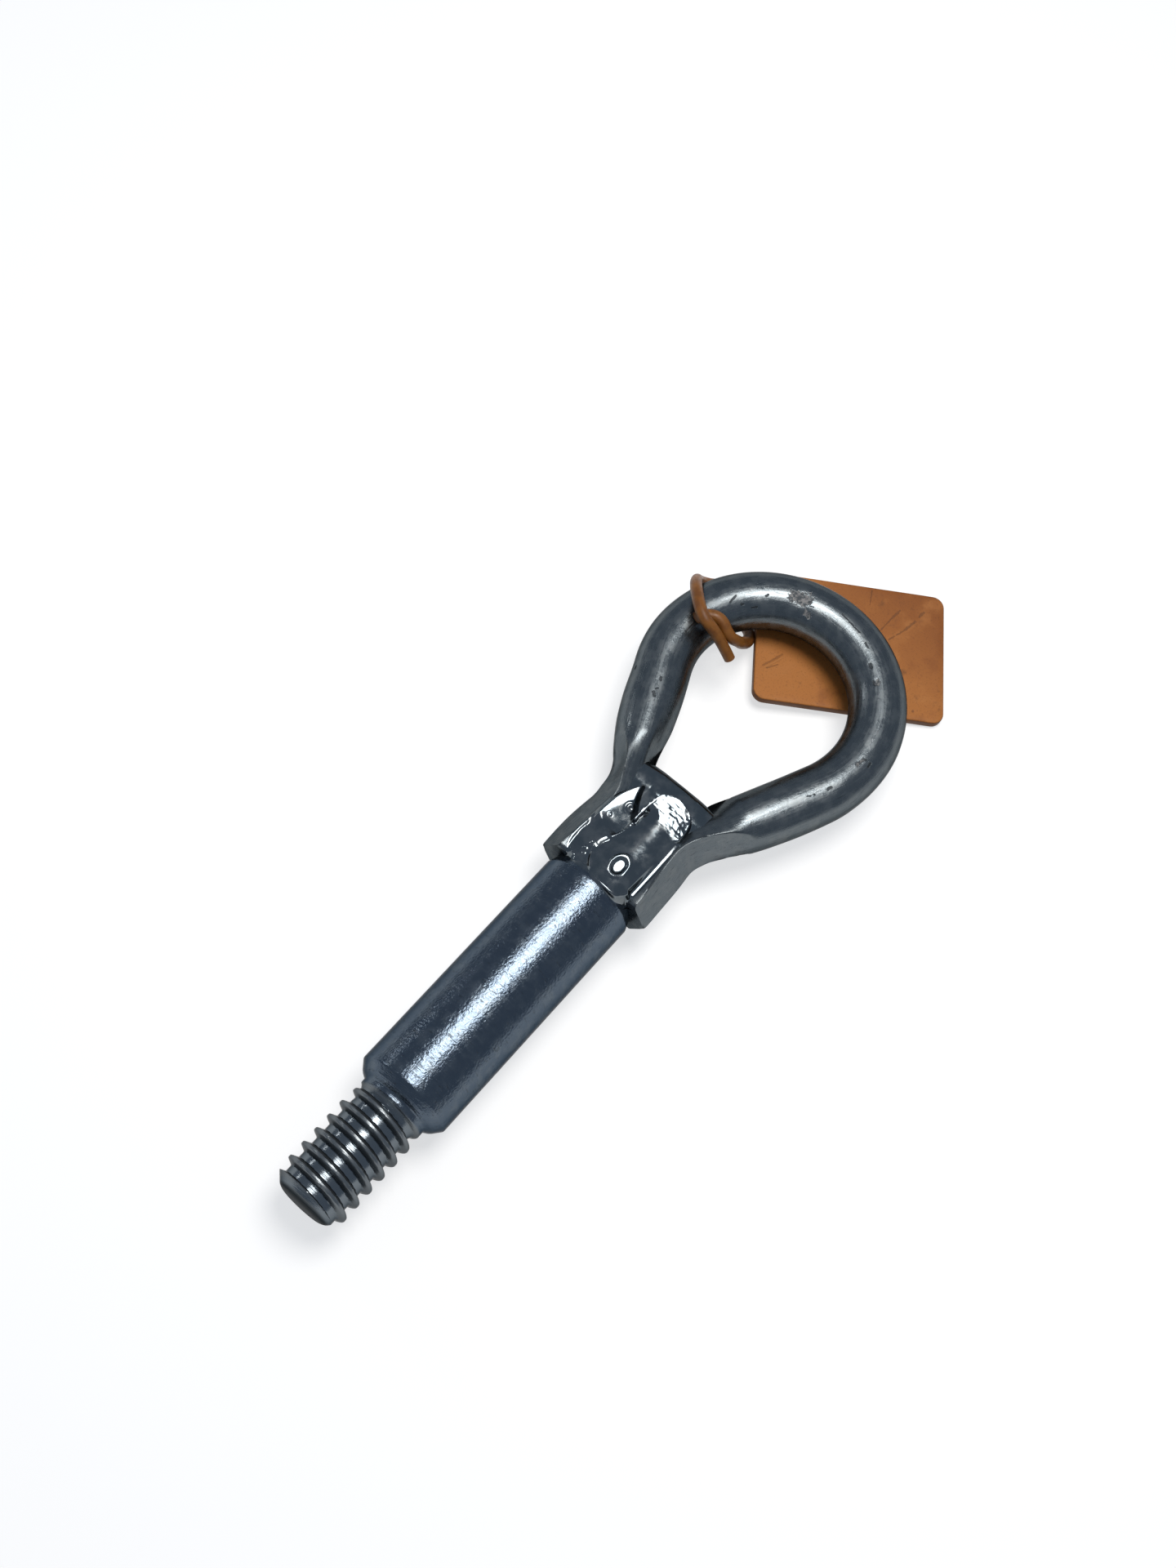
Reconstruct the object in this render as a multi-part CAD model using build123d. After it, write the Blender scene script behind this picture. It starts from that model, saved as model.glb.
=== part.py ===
"""Screw-in tow eye: threaded shank, bent bar eye, weld beads and a tag tied to the eye.

Frame in mm: the origin is on the shank axis at the shoulder above the thread.
+X runs along the shank to the eye, +Y to the left with the eye upwards, +Z up from the floor.
"""

import os
from math import asin, atan2, cos, degrees, hypot, radians, sin, sqrt, tan

from build123d import *

# Shank
SHANK_D = 21.0
SHANK_LENGTH = 56.7
SHANK_EDGE_BREAK = 0.8
SHANK_EDGE_LENGTH = 2.2
SHOULDER_LENGTH = 2.4
COLLAR_D = 15.6
COLLAR_LENGTH = 2.8

# Thread, left-hand, with rounded run-out towards the collar
THREAD_MAJOR_D = 16.0
THREAD_PITCH = 3.5
THREAD_DEPTH = 1.7
THREAD_CREST_WIDTH = 0.9
THREAD_ROOT_WIDTH = 2.6
THREAD_SINK = 0.5
THREAD_FIRST_CREST = 5.6
THREAD_CREST_ANGLE = 11.8
THREAD_TURNS = 6.2
RUN_OUT_LENGTH = 4.0
TIP_LENGTH = 28.2
TIP_FLAT_D = 11.2
TIP_CHAMFER_LENGTH = 2.5

# Eye, one round bar, its places measured from the end of the shank
BAR_D = 12.5
BAR_PINCH_WIDTH = 10.6
EYE_LIFT = 1.4
EYE_REACH = 57.8
EYE_RADIUS = 23.4
LEG_BASE_OFFSET = 7.0
LEG_NECK_OFFSET = 7.2
NECK_REACH = 17.3
NECK_BEND_R = 12.0
PINCH_RUN = 11.0
LEG_END_ROUND = 0.8

# Weld beads, their places measured from the end of the shank
ROOT_HALF_HEIGHT = 4.5
ROOT_CROTCH_REACH = 28.1
ROOT_CROTCH_BULGE = 0.6
MAIN_BEAD_LENGTH = 26.0
MAIN_BEAD_WIDTH = 11.0
MAIN_BEAD_REACH = 10.8
MAIN_BEAD_Y = 2.75
MAIN_BEAD_ROUND = 4.2
FRONT_MAIN_CROWN = 11.3
SIDE_BEAD_LENGTH = 21.6
SIDE_BEAD_WIDTH = 9.4
SIDE_BEAD_REACH = 10.9
SIDE_BEAD_Y = 5.4
SIDE_BEAD_ROUND = 2.6
FRONT_SIDE_CROWN = 10.0
BACK_SIDE_CROWN = 9.2
CRATER_REACH = 3.4
CRATER_D = 5.0
CRATER_DEPTH = 0.8

# Tag, its tie hole placed from the centre of the eye in plan
TAG_LENGTH = 42.7
TAG_WIDTH = 31.5
TAG_THICKNESS = 2.2
TAG_CORNER_R = 2.6
TAG_EDGE_ROUND = 0.4
TAG_HOLE_AHEAD = 25.59
TAG_HOLE_ASIDE = 16.01
TAG_YAW = -54.16
TAG_HOLE_INSET = 4.5

# Tie strand and the gaps it keeps
STRAND_D = 2.2
STRAND_HOLE_CLEARANCE = 0.9
STRAND_FLOOR_GAP = 0.05
STRAND_TAG_GAP = 0.42

# Derived sizes
SHANK_R = SHANK_D / 2
FLOOR_Z = -SHANK_R
MAJOR_R = THREAD_MAJOR_D / 2
ROOT_R = MAJOR_R - THREAD_DEPTH
COLLAR_R = COLLAR_D / 2
COLLAR_END = SHOULDER_LENGTH + COLLAR_LENGTH
EYE_CENTRE_X = SHANK_LENGTH + EYE_REACH
NECK_X = SHANK_LENGTH + NECK_REACH
ROOT_CROTCH_X = SHANK_LENGTH + ROOT_CROTCH_REACH
MAIN_BEAD_X = SHANK_LENGTH + MAIN_BEAD_REACH
SIDE_BEAD_X = SHANK_LENGTH + SIDE_BEAD_REACH
CRATER_X = SHANK_LENGTH + CRATER_REACH


def about_shank(points):
    """Solid of revolution about the shank axis from (x, radius) points."""
    flat = make_face(Polyline(*[(x, r) for x, r in points], close=True))
    return revolve(flat, axis=Axis.X)


def make_thread():
    """Helical ridge, trimmed to the chamfered outline of the screw."""
    ridge_path = Helix(
        pitch=THREAD_PITCH,
        height=THREAD_PITCH * THREAD_TURNS,
        radius=ROOT_R,
        lefthand=True,
    )
    half_crest = THREAD_CREST_WIDTH / 2
    half_root = THREAD_ROOT_WIDTH / 2
    section_plane = Plane(origin=ridge_path @ 0, x_dir=(1, 0, 0), z_dir=ridge_path % 0)
    section = section_plane * make_face(
        Polyline(
            (-THREAD_SINK, -half_root),
            (0, -half_root),
            (THREAD_DEPTH, -half_crest),
            (THREAD_DEPTH, half_crest),
            (0, half_root),
            (-THREAD_SINK, half_root),
            close=True,
        )
    )
    ridge = sweep(section, path=ridge_path, is_frenet=True)
    screw_plane = Plane(
        origin=(-THREAD_FIRST_CREST, 0, 0),
        x_dir=(0, cos(radians(THREAD_CREST_ANGLE)), sin(radians(THREAD_CREST_ANGLE))),
        z_dir=(-1, 0, 0),
    )
    outline = about_shank(
        [
            (-TIP_LENGTH, 0),
            (-TIP_LENGTH, TIP_FLAT_D / 2),
            (-TIP_LENGTH + TIP_CHAMFER_LENGTH, MAJOR_R),
            (-SHOULDER_LENGTH, MAJOR_R),
            (-SHOULDER_LENGTH, 0),
        ]
    )
    return (screw_plane * ridge) & outline


def make_shank():
    """Turned body with shoulder, collar, thread root and tip, and the thread on it."""
    tip_chamfer_at_root = TIP_CHAMFER_LENGTH * (ROOT_R - TIP_FLAT_D / 2) / (MAJOR_R - TIP_FLAT_D / 2)
    body = about_shank(
        [
            (-TIP_LENGTH, 0),
            (-TIP_LENGTH, TIP_FLAT_D / 2),
            (-TIP_LENGTH + tip_chamfer_at_root, ROOT_R),
            (-COLLAR_END - RUN_OUT_LENGTH, ROOT_R),
            (-COLLAR_END, COLLAR_R),
            (-SHOULDER_LENGTH, COLLAR_R),
            (0, SHANK_R),
            (SHANK_LENGTH - SHANK_EDGE_LENGTH, SHANK_R),
            (SHANK_LENGTH, SHANK_R - SHANK_EDGE_BREAK),
            (SHANK_LENGTH, 0),
        ]
    )
    return body + make_thread()


def bar_section(point, heading, width):
    """Section across the bar at a plan point, square to the heading in degrees."""
    turn = radians(heading)
    plane = Plane(
        origin=(point[0], point[1], EYE_LIFT),
        x_dir=(sin(turn), -cos(turn), 0),
        z_dir=(cos(turn), sin(turn), 0),
    )
    return plane * Ellipse(width / 2, BAR_D / 2 + 1e-4)


def make_eye():
    """Bar bent to a ring with two legs, pinched a little at the two neck bends."""
    to_centre = hypot(EYE_CENTRE_X - NECK_X, LEG_NECK_OFFSET)
    flare = degrees(asin(EYE_RADIUS / to_centre) - atan2(LEG_NECK_OFFSET, EYE_CENTRE_X - NECK_X))
    rise = radians(flare)
    ahead = Vector(cos(rise), sin(rise))
    tangent_length = NECK_BEND_R * tan(rise / 2)
    neck = Vector(NECK_X, LEG_NECK_OFFSET)
    bend_start = neck - Vector(tangent_length, 0)
    bend_end = neck + ahead * tangent_length
    flare_length = sqrt(to_centre**2 - EYE_RADIUS**2)
    pinch_end = bend_end + ahead * PINCH_RUN
    flare_end = neck + ahead * flare_length
    leg_base = Vector(SHANK_LENGTH, LEG_BASE_OFFSET)

    leg = loft(
        [
            bar_section((leg_base.X, leg_base.Y), 0, BAR_D),
            bar_section((bend_start.X, bend_start.Y), 0, BAR_PINCH_WIDTH),
        ],
        ruled=True,
    )
    leg = fillet(leg.edges().sort_by(Axis.X)[0], LEG_END_ROUND)
    bend = revolve(
        bar_section((bend_start.X, bend_start.Y), 0, BAR_PINCH_WIDTH),
        axis=Axis((bend_start.X, bend_start.Y + NECK_BEND_R, 0), (0, 0, 1)),
        revolution_arc=flare,
    )
    pinch = loft(
        [
            bar_section((bend_end.X, bend_end.Y), flare, BAR_PINCH_WIDTH),
            bar_section((pinch_end.X, pinch_end.Y), flare, BAR_D),
        ],
        ruled=True,
    )
    straight = loft(
        [
            bar_section((pinch_end.X, pinch_end.Y), flare, BAR_D),
            bar_section((flare_end.X, flare_end.Y), flare, BAR_D),
        ],
        ruled=True,
    )
    half_ring = revolve(
        bar_section((EYE_CENTRE_X + EYE_RADIUS, 0), 90, BAR_D),
        axis=Axis((EYE_CENTRE_X, 0, 0), (0, 0, 1)),
        revolution_arc=90 + flare,
    )
    half = leg + bend + pinch + straight + half_ring
    return half + mirror(half, about=Plane.XZ)


def make_root(eye, shank):
    """Weld metal between the two legs, up to the crotch of the eye."""
    neck_half = LEG_NECK_OFFSET + (ROOT_CROTCH_X - NECK_X) * 0.42
    outline = Polyline(
        (ROOT_CROTCH_X, -neck_half),
        (NECK_X, -LEG_NECK_OFFSET),
        (SHANK_LENGTH, -LEG_BASE_OFFSET),
        (SHANK_LENGTH, LEG_BASE_OFFSET),
        (NECK_X, LEG_NECK_OFFSET),
        (ROOT_CROTCH_X, neck_half),
    )
    crotch = ThreePointArc(
        (ROOT_CROTCH_X, neck_half),
        (ROOT_CROTCH_X + ROOT_CROTCH_BULGE, 0),
        (ROOT_CROTCH_X, -neck_half),
    )
    web = extrude(make_face([*outline.edges(), crotch]), ROOT_HALF_HEIGHT, both=True)
    return Pos(0, 0, EYE_LIFT) * web - eye - shank


def make_bead(centre, length, width, foot, crown, rounding):
    """Long rounded pillow of weld metal from the foot level to the crown level."""
    pad = Pos(centre[0], centre[1], foot) * extrude(SlotOverall(length, width), crown - foot)
    return fillet(pad.edges().group_by(Axis.Z)[-1], rounding)


def make_front_beads(eye, shank):
    """The main bead with its end crater and the side bead that runs under its edge."""
    foot = EYE_LIFT + ROOT_HALF_HEIGHT
    main = make_bead(
        (MAIN_BEAD_X, -MAIN_BEAD_Y), MAIN_BEAD_LENGTH, MAIN_BEAD_WIDTH, foot, FRONT_MAIN_CROWN, MAIN_BEAD_ROUND
    )
    crater_r = ((CRATER_D / 2) ** 2 + CRATER_DEPTH**2) / (2 * CRATER_DEPTH)
    crater_z = FRONT_MAIN_CROWN - CRATER_DEPTH + crater_r
    main = main - Pos(CRATER_X, -MAIN_BEAD_Y, crater_z) * Sphere(crater_r) - eye - shank
    side = make_bead(
        (SIDE_BEAD_X, SIDE_BEAD_Y), SIDE_BEAD_LENGTH, SIDE_BEAD_WIDTH, foot, FRONT_SIDE_CROWN, SIDE_BEAD_ROUND
    )
    return main, side - main - eye - shank


def make_back_beads(eye, shank):
    """The two beads of the back, laid with the part turned over; the main one is level with the shank."""
    foot = ROOT_HALF_HEIGHT - EYE_LIFT
    main = make_bead(
        (MAIN_BEAD_X, -MAIN_BEAD_Y), MAIN_BEAD_LENGTH, MAIN_BEAD_WIDTH, foot, SHANK_R, MAIN_BEAD_ROUND
    )
    side = make_bead(
        (SIDE_BEAD_X, SIDE_BEAD_Y), SIDE_BEAD_LENGTH, SIDE_BEAD_WIDTH, foot, BACK_SIDE_CROWN, SIDE_BEAD_ROUND
    )
    main = main.rotate(Axis.X, 180) - eye - shank
    side = side.rotate(Axis.X, 180) - main - eye - shank
    return main, side


def tag_edges():
    """Plan directions of the tag: along it to the edge on the floor, and across it."""
    yaw = radians(TAG_YAW)
    return Vector(cos(yaw), sin(yaw), 0), Vector(-sin(yaw), cos(yaw), 0)


def tag_hole_point():
    """Plan point of the tie hole, near the raised corner of the tag."""
    return Vector(EYE_CENTRE_X + TAG_HOLE_AHEAD, TAG_HOLE_ASIDE, 0)


def tag_centre():
    """Plan point of the middle of the tag, reached from its tie hole."""
    along, across = tag_edges()
    inwards = along * (TAG_LENGTH / 2 - TAG_HOLE_INSET)
    return tag_hole_point() + inwards - across * (TAG_WIDTH / 2 - TAG_HOLE_INSET)


def make_tag():
    """Flat tag, one short edge on the floor and the tied edge raised by the strand under it."""
    along, _ = tag_edges()
    raised = STRAND_FLOOR_GAP + STRAND_D + STRAND_TAG_GAP
    tilt = atan2(raised, TAG_LENGTH - TAG_HOLE_INSET)
    floor_edge = tag_centre() + along * (TAG_LENGTH / 2) + Vector(0, 0, FLOOR_Z)
    seat = Plane(
        origin=floor_edge,
        x_dir=along * cos(tilt) - Vector(0, 0, sin(tilt)),
        z_dir=along * sin(tilt) + Vector(0, 0, cos(tilt)),
    )
    blank = extrude(RectangleRounded(TAG_LENGTH, TAG_WIDTH, TAG_CORNER_R), TAG_THICKNESS)
    rims = blank.edges().group_by(Axis.Z)
    blank = fillet(rims[-1] + rims[0], TAG_EDGE_ROUND)
    hole = tag_hole_point()
    hole_r = STRAND_D / 2 + STRAND_HOLE_CLEARANCE
    bore = Pos(hole.X, hole.Y, 0) * Cylinder(hole_r, 4 * SHANK_R)
    return seat * (Pos(-TAG_LENGTH / 2, 0, 0) * blank) - bore


def beside_bar(along, around, gap):
    """Strand point by angle along the eye, angle round the bar from its outside, and gap to the bar."""
    reach = BAR_D / 2 + gap + STRAND_D / 2
    radius = EYE_RADIUS + reach * cos(radians(around))
    return Vector(
        EYE_CENTRE_X + radius * cos(radians(along)),
        radius * sin(radians(along)),
        EYE_LIFT + reach * sin(radians(around)),
    )


def make_tie():
    """One strand: a half knot on the bar, one side down outside the bar to the tag, the other inside."""
    floor_run = Vector(0, 0, FLOOR_Z + STRAND_FLOOR_GAP + STRAND_D / 2)
    along, across = tag_edges()
    hole = tag_hole_point()
    outside_hole = beside_bar(32.0, 322.5, 1.2)
    route = [
        (beside_bar(87.0, 170.4, 4.7), 0),
        (beside_bar(87.5, 134.9, 2.8), 3.0),
        (beside_bar(85.8, 105.3, 3.9), 3.0),
        (beside_bar(75.9, 67.1, 0.9), 3.0),
        (beside_bar(71.2, 17.6, 0.9), 2.4),
        (beside_bar(67.7, 0.0, 1.7), 1.6),
        (beside_bar(62.5, 340.6, 1.1), 1.8),
        (beside_bar(48.4, 325.5, 0.95), 3.0),
        (Vector(hole.X, hole.Y, outside_hole.Z), 1.4),
        (hole + floor_run, 1.4),
        (hole - along * 4.6 - across * 2.0 + floor_run, 2.2),
        (hole - along * 6.2 - across * 6.5 + floor_run, 3.0),
        (beside_bar(49.6, 243.3, 3.8), 2.4),
        (beside_bar(53.5, 208.8, 3.0), 3.0),
        (beside_bar(60.5, 180.0, 3.6), 3.0),
        (beside_bar(71.7, 152.7, 3.6), 2.4),
        (beside_bar(75.7, 122.9, 2.3), 2.0),
        (beside_bar(84.2, 109.0, 0.9), 2.0),
        (beside_bar(91.5, 91.4, 0.45), 0),
    ]
    points = [point for point, _ in route]
    radii = [radius for _, radius in route[1:-1]]
    path = FilletPolyline(*points, radius=radii)
    section = Plane(origin=path @ 0, z_dir=path % 0) * Circle(STRAND_D / 2)
    return sweep(section, path=path)


def main():
    """Build every piece and write one STEP file for each."""
    shank = make_shank()
    eye = make_eye()
    root = make_root(eye, shank)
    front_main, front_side = make_front_beads(eye, shank)
    back_main, back_side = make_back_beads(eye, shank)
    pieces = {
        "shank": shank,
        "eye_ring": eye,
        "weld_root": root,
        "weld_front_right": front_main,
        "weld_front_left": front_side,
        "weld_back_right": back_side,
        "weld_back_left": back_main,
        "tag": make_tag(),
        "tag_tie": make_tie(),
    }
    os.makedirs("parts", exist_ok=True)
    for name, piece in pieces.items():
        export_step(piece, f"parts/{name}.step")


main()
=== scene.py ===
"""Dressed scene of a screw-in tow eye: plated shank and eye, weld beads, and a tag tied to the eye.

Sizes are in millimetres in the part's own frame, and become metres where a mesh is written.
The shank runs along X with its shoulder at the origin, the eye lies at +X and Z is up.
"""

import logging
import math
from dataclasses import dataclass
from enum import Enum
from typing import Callable, Optional, Sequence

import bpy
import numpy as np
from mathutils import Matrix, Vector, noise

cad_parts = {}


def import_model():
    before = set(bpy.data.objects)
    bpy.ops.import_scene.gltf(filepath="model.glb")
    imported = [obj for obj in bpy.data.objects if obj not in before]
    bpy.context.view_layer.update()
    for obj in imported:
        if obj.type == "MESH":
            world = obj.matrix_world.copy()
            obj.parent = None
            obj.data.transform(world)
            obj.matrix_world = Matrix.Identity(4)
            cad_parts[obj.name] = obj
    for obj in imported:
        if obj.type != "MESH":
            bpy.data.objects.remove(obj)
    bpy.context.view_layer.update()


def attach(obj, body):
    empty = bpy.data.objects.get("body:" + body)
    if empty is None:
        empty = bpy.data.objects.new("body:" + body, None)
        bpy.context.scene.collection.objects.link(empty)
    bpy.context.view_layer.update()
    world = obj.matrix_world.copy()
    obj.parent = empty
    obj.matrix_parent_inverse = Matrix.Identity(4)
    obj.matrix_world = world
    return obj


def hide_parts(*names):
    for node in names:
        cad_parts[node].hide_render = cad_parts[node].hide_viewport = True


LOG = logging.getLogger("tow_eye")
MM = 0.001
FLOOR_Z = -10.5
NOWHERE = -99.0
TINY = 1e-12

Point = tuple[float, float, float]
PlanPoint = tuple[float, float]
Colour = tuple[float, float, float]
Strip = tuple[float, float, int, float]


class Body(Enum):
    """Bodies that the pieces ride on."""

    TOW_EYE = "tow_eye"
    TIE = "tie"
    TAG = "tag"


class Slot(Enum):
    """Material slots of the part's record."""

    PLATED = "plated_steel"
    WELD = "weld_metal"
    TAG = "tag_plastic"
    TIE = "tie_plastic"


class Face(Enum):
    """Side of the head that a weld bead lies on; the value is the sign of its Z."""

    FRONT = 1
    BACK = -1


def ease(share: np.ndarray) -> np.ndarray:
    """Smooth step of a share clipped to 0 and 1."""
    clipped = np.clip(share, 0.0, 1.0)
    return clipped * clipped * (3.0 - 2.0 * clipped)


def waver(points: np.ndarray, size: float, seed: float) -> np.ndarray:
    """Fixed noise over points.

    Args:
        points: Rows of millimetre points.
        size: Size of one swell in millimetres.
        seed: Offset that picks another part of the same noise.

    Returns:
        One value from about -1 to 1 for each row.
    """
    shifted = points / size + seed
    return np.array([noise.noise(Vector(row)) for row in shifted])


class Bench:
    """Modelling steps that the pieces share."""

    @staticmethod
    def clear() -> None:
        """Leave edit mode and deselect everything."""
        if bpy.context.object is not None and bpy.context.object.mode != "OBJECT":
            bpy.ops.object.mode_set(mode="OBJECT")
        bpy.ops.object.select_all(action="DESELECT")

    @staticmethod
    def pick_edges(piece: bpy.types.Object, wanted: Callable[[Vector, Vector], bool]) -> None:
        """Go to edit mode with only some edges selected.

        Args:
            piece: Mesh object that is active.
            wanted: Test on the two ends of an edge.
        """
        bpy.ops.object.mode_set(mode="EDIT")
        bpy.ops.mesh.select_mode(type="EDGE")
        bpy.ops.mesh.select_all(action="DESELECT")
        bpy.ops.object.mode_set(mode="OBJECT")
        vertices = piece.data.vertices
        for edge in piece.data.edges:
            edge.select = wanted(vertices[edge.vertices[0]].co, vertices[edge.vertices[1]].co)
        bpy.ops.object.mode_set(mode="EDIT")

    @staticmethod
    def coordinates(piece: bpy.types.Object) -> np.ndarray:
        """Rows of the mesh's own vertex coordinates.

        Args:
            piece: Mesh object.

        Returns:
            One row for each vertex.
        """
        flat = np.zeros(len(piece.data.vertices) * 3)
        piece.data.vertices.foreach_get("co", flat)
        return flat.reshape(-1, 3)

    @staticmethod
    def reshape(piece: bpy.types.Object, points: np.ndarray) -> None:
        """Write millimetre rows to the mesh's vertices."""
        piece.data.vertices.foreach_set("co", (points * MM).ravel())
        piece.data.update()

    @staticmethod
    def ringed_bar(name: str, steps: tuple[int, int], sides: int) -> bpy.types.Object:
        """Closed bar along X, from -0.5 to 0.5, divided into even rings to be shaped.

        Args:
            name: Name of the piece.
            steps: Two factors of the number of spans along the bar.
            sides: Number of vertices round each ring.

        Returns:
            The bar, in object mode.
        """
        Bench.clear()
        bpy.ops.mesh.primitive_cylinder_add(
            vertices=sides, radius=1.0, depth=1.0, rotation=(0.0, math.pi / 2, 0.0)
        )
        bar = bpy.context.object
        bar.name = name
        bpy.ops.object.transform_apply(location=True, rotation=True, scale=True)
        for step in steps:
            Bench.pick_edges(bar, lambda a, b: abs(a.x - b.x) > 1e-5)
            bpy.ops.mesh.subdivide(number_cuts=step - 1)
        bpy.ops.object.mode_set(mode="OBJECT")
        return bar

    @staticmethod
    def ring_places(bar: bpy.types.Object, spans: int) -> tuple[np.ndarray, np.ndarray]:
        """Ring number and angle from +Y through +Z of each vertex of a ringed bar.

        Args:
            bar: Bar made by ringed_bar.
            spans: Number of spans along it.

        Returns:
            Ring numbers, and angles in radians.
        """
        points = Bench.coordinates(bar)
        rings = np.rint((points[:, 0] + 0.5) * spans).astype(int)
        return rings, np.arctan2(points[:, 2], points[:, 1])

    @staticmethod
    def slab(
        name: str, divisions: tuple[int, int], keep: Callable[[np.ndarray], np.ndarray]
    ) -> tuple[bpy.types.Object, np.ndarray, np.ndarray]:
        """Closed slab over part of a divided unit square, to be shaped from below and above.

        Args:
            name: Name of the piece.
            divisions: Spans along X and Y.
            keep: Test on rows of 0 to 1 plan shares; the rest of the square is cut off.

        Returns:
            The slab, the plan shares of its vertices, and which of them are on top.
        """
        Bench.clear()
        bpy.ops.mesh.primitive_grid_add(x_subdivisions=divisions[0], y_subdivisions=divisions[1], size=1.0)
        slab = bpy.context.object
        slab.name = name
        kept = keep(Bench.coordinates(slab)[:, :2] + 0.5)
        bpy.ops.object.mode_set(mode="EDIT")
        bpy.ops.mesh.select_mode(type="VERT")
        bpy.ops.mesh.select_all(action="DESELECT")
        bpy.ops.object.mode_set(mode="OBJECT")
        slab.data.vertices.foreach_set("select", np.logical_not(kept))
        bpy.ops.object.mode_set(mode="EDIT")
        bpy.ops.mesh.delete(type="VERT")
        bpy.ops.mesh.select_all(action="SELECT")
        bpy.ops.mesh.extrude_region_move(TRANSFORM_OT_translate={"value": (0.0, 0.0, 1.0)})
        bpy.ops.object.mode_set(mode="OBJECT")
        points = Bench.coordinates(slab)
        return slab, points[:, :2] + 0.5, points[:, 2] > 0.5

    @staticmethod
    def keep_places(piece: bpy.types.Object, rows: np.ndarray) -> None:
        """Store millimetre places along a straightened bar on the mesh, for its drawn streaks."""
        places = piece.data.attributes.new("bar_place", "FLOAT_VECTOR", "POINT")
        places.data.foreach_set("vector", (rows * MM).ravel())

    @staticmethod
    def keep_shares(piece: bpy.types.Object, name: str, shares: np.ndarray) -> None:
        """Store one 0 to 1 share for each vertex under a name, for a mask in its finish."""
        piece.data.attributes.new(name, "FLOAT", "POINT").data.foreach_set("value", shares)

    @staticmethod
    def settle(piece: bpy.types.Object, angle: float) -> None:
        """Merge doubles, turn the faces outwards and smooth the shading below an angle in degrees.

        Args:
            piece: Shaped mesh.
            angle: Largest angle in degrees that is shaded smooth.
        """
        Bench.clear()
        piece.select_set(True)
        bpy.context.view_layer.objects.active = piece
        bpy.ops.object.mode_set(mode="EDIT")
        bpy.ops.mesh.select_all(action="SELECT")
        bpy.ops.mesh.remove_doubles(threshold=1e-7)
        bpy.ops.mesh.normals_make_consistent(inside=False)
        bpy.ops.object.mode_set(mode="OBJECT")
        bpy.ops.object.shade_smooth_by_angle(angle=math.radians(angle))

    @staticmethod
    def hand_over(
        piece: bpy.types.Object, material: bpy.types.Material, body: Body, slot: Slot, node: str
    ) -> None:
        """Dress a finished piece, seat it on its body and let it stand for its CAD node.

        Args:
            piece: Finished mesh.
            material: Material of the whole piece.
            body: Body that it moves with.
            slot: Material slot of the record; not used.
            node: CAD node that it stands for.
        """
        piece.data.materials.clear()
        piece.data.materials.append(material)
        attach(piece, body.value)
        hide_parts(node)
        LOG.info("%s: %d faces, stands for %s", piece.name, len(piece.data.polygons), node)


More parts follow.
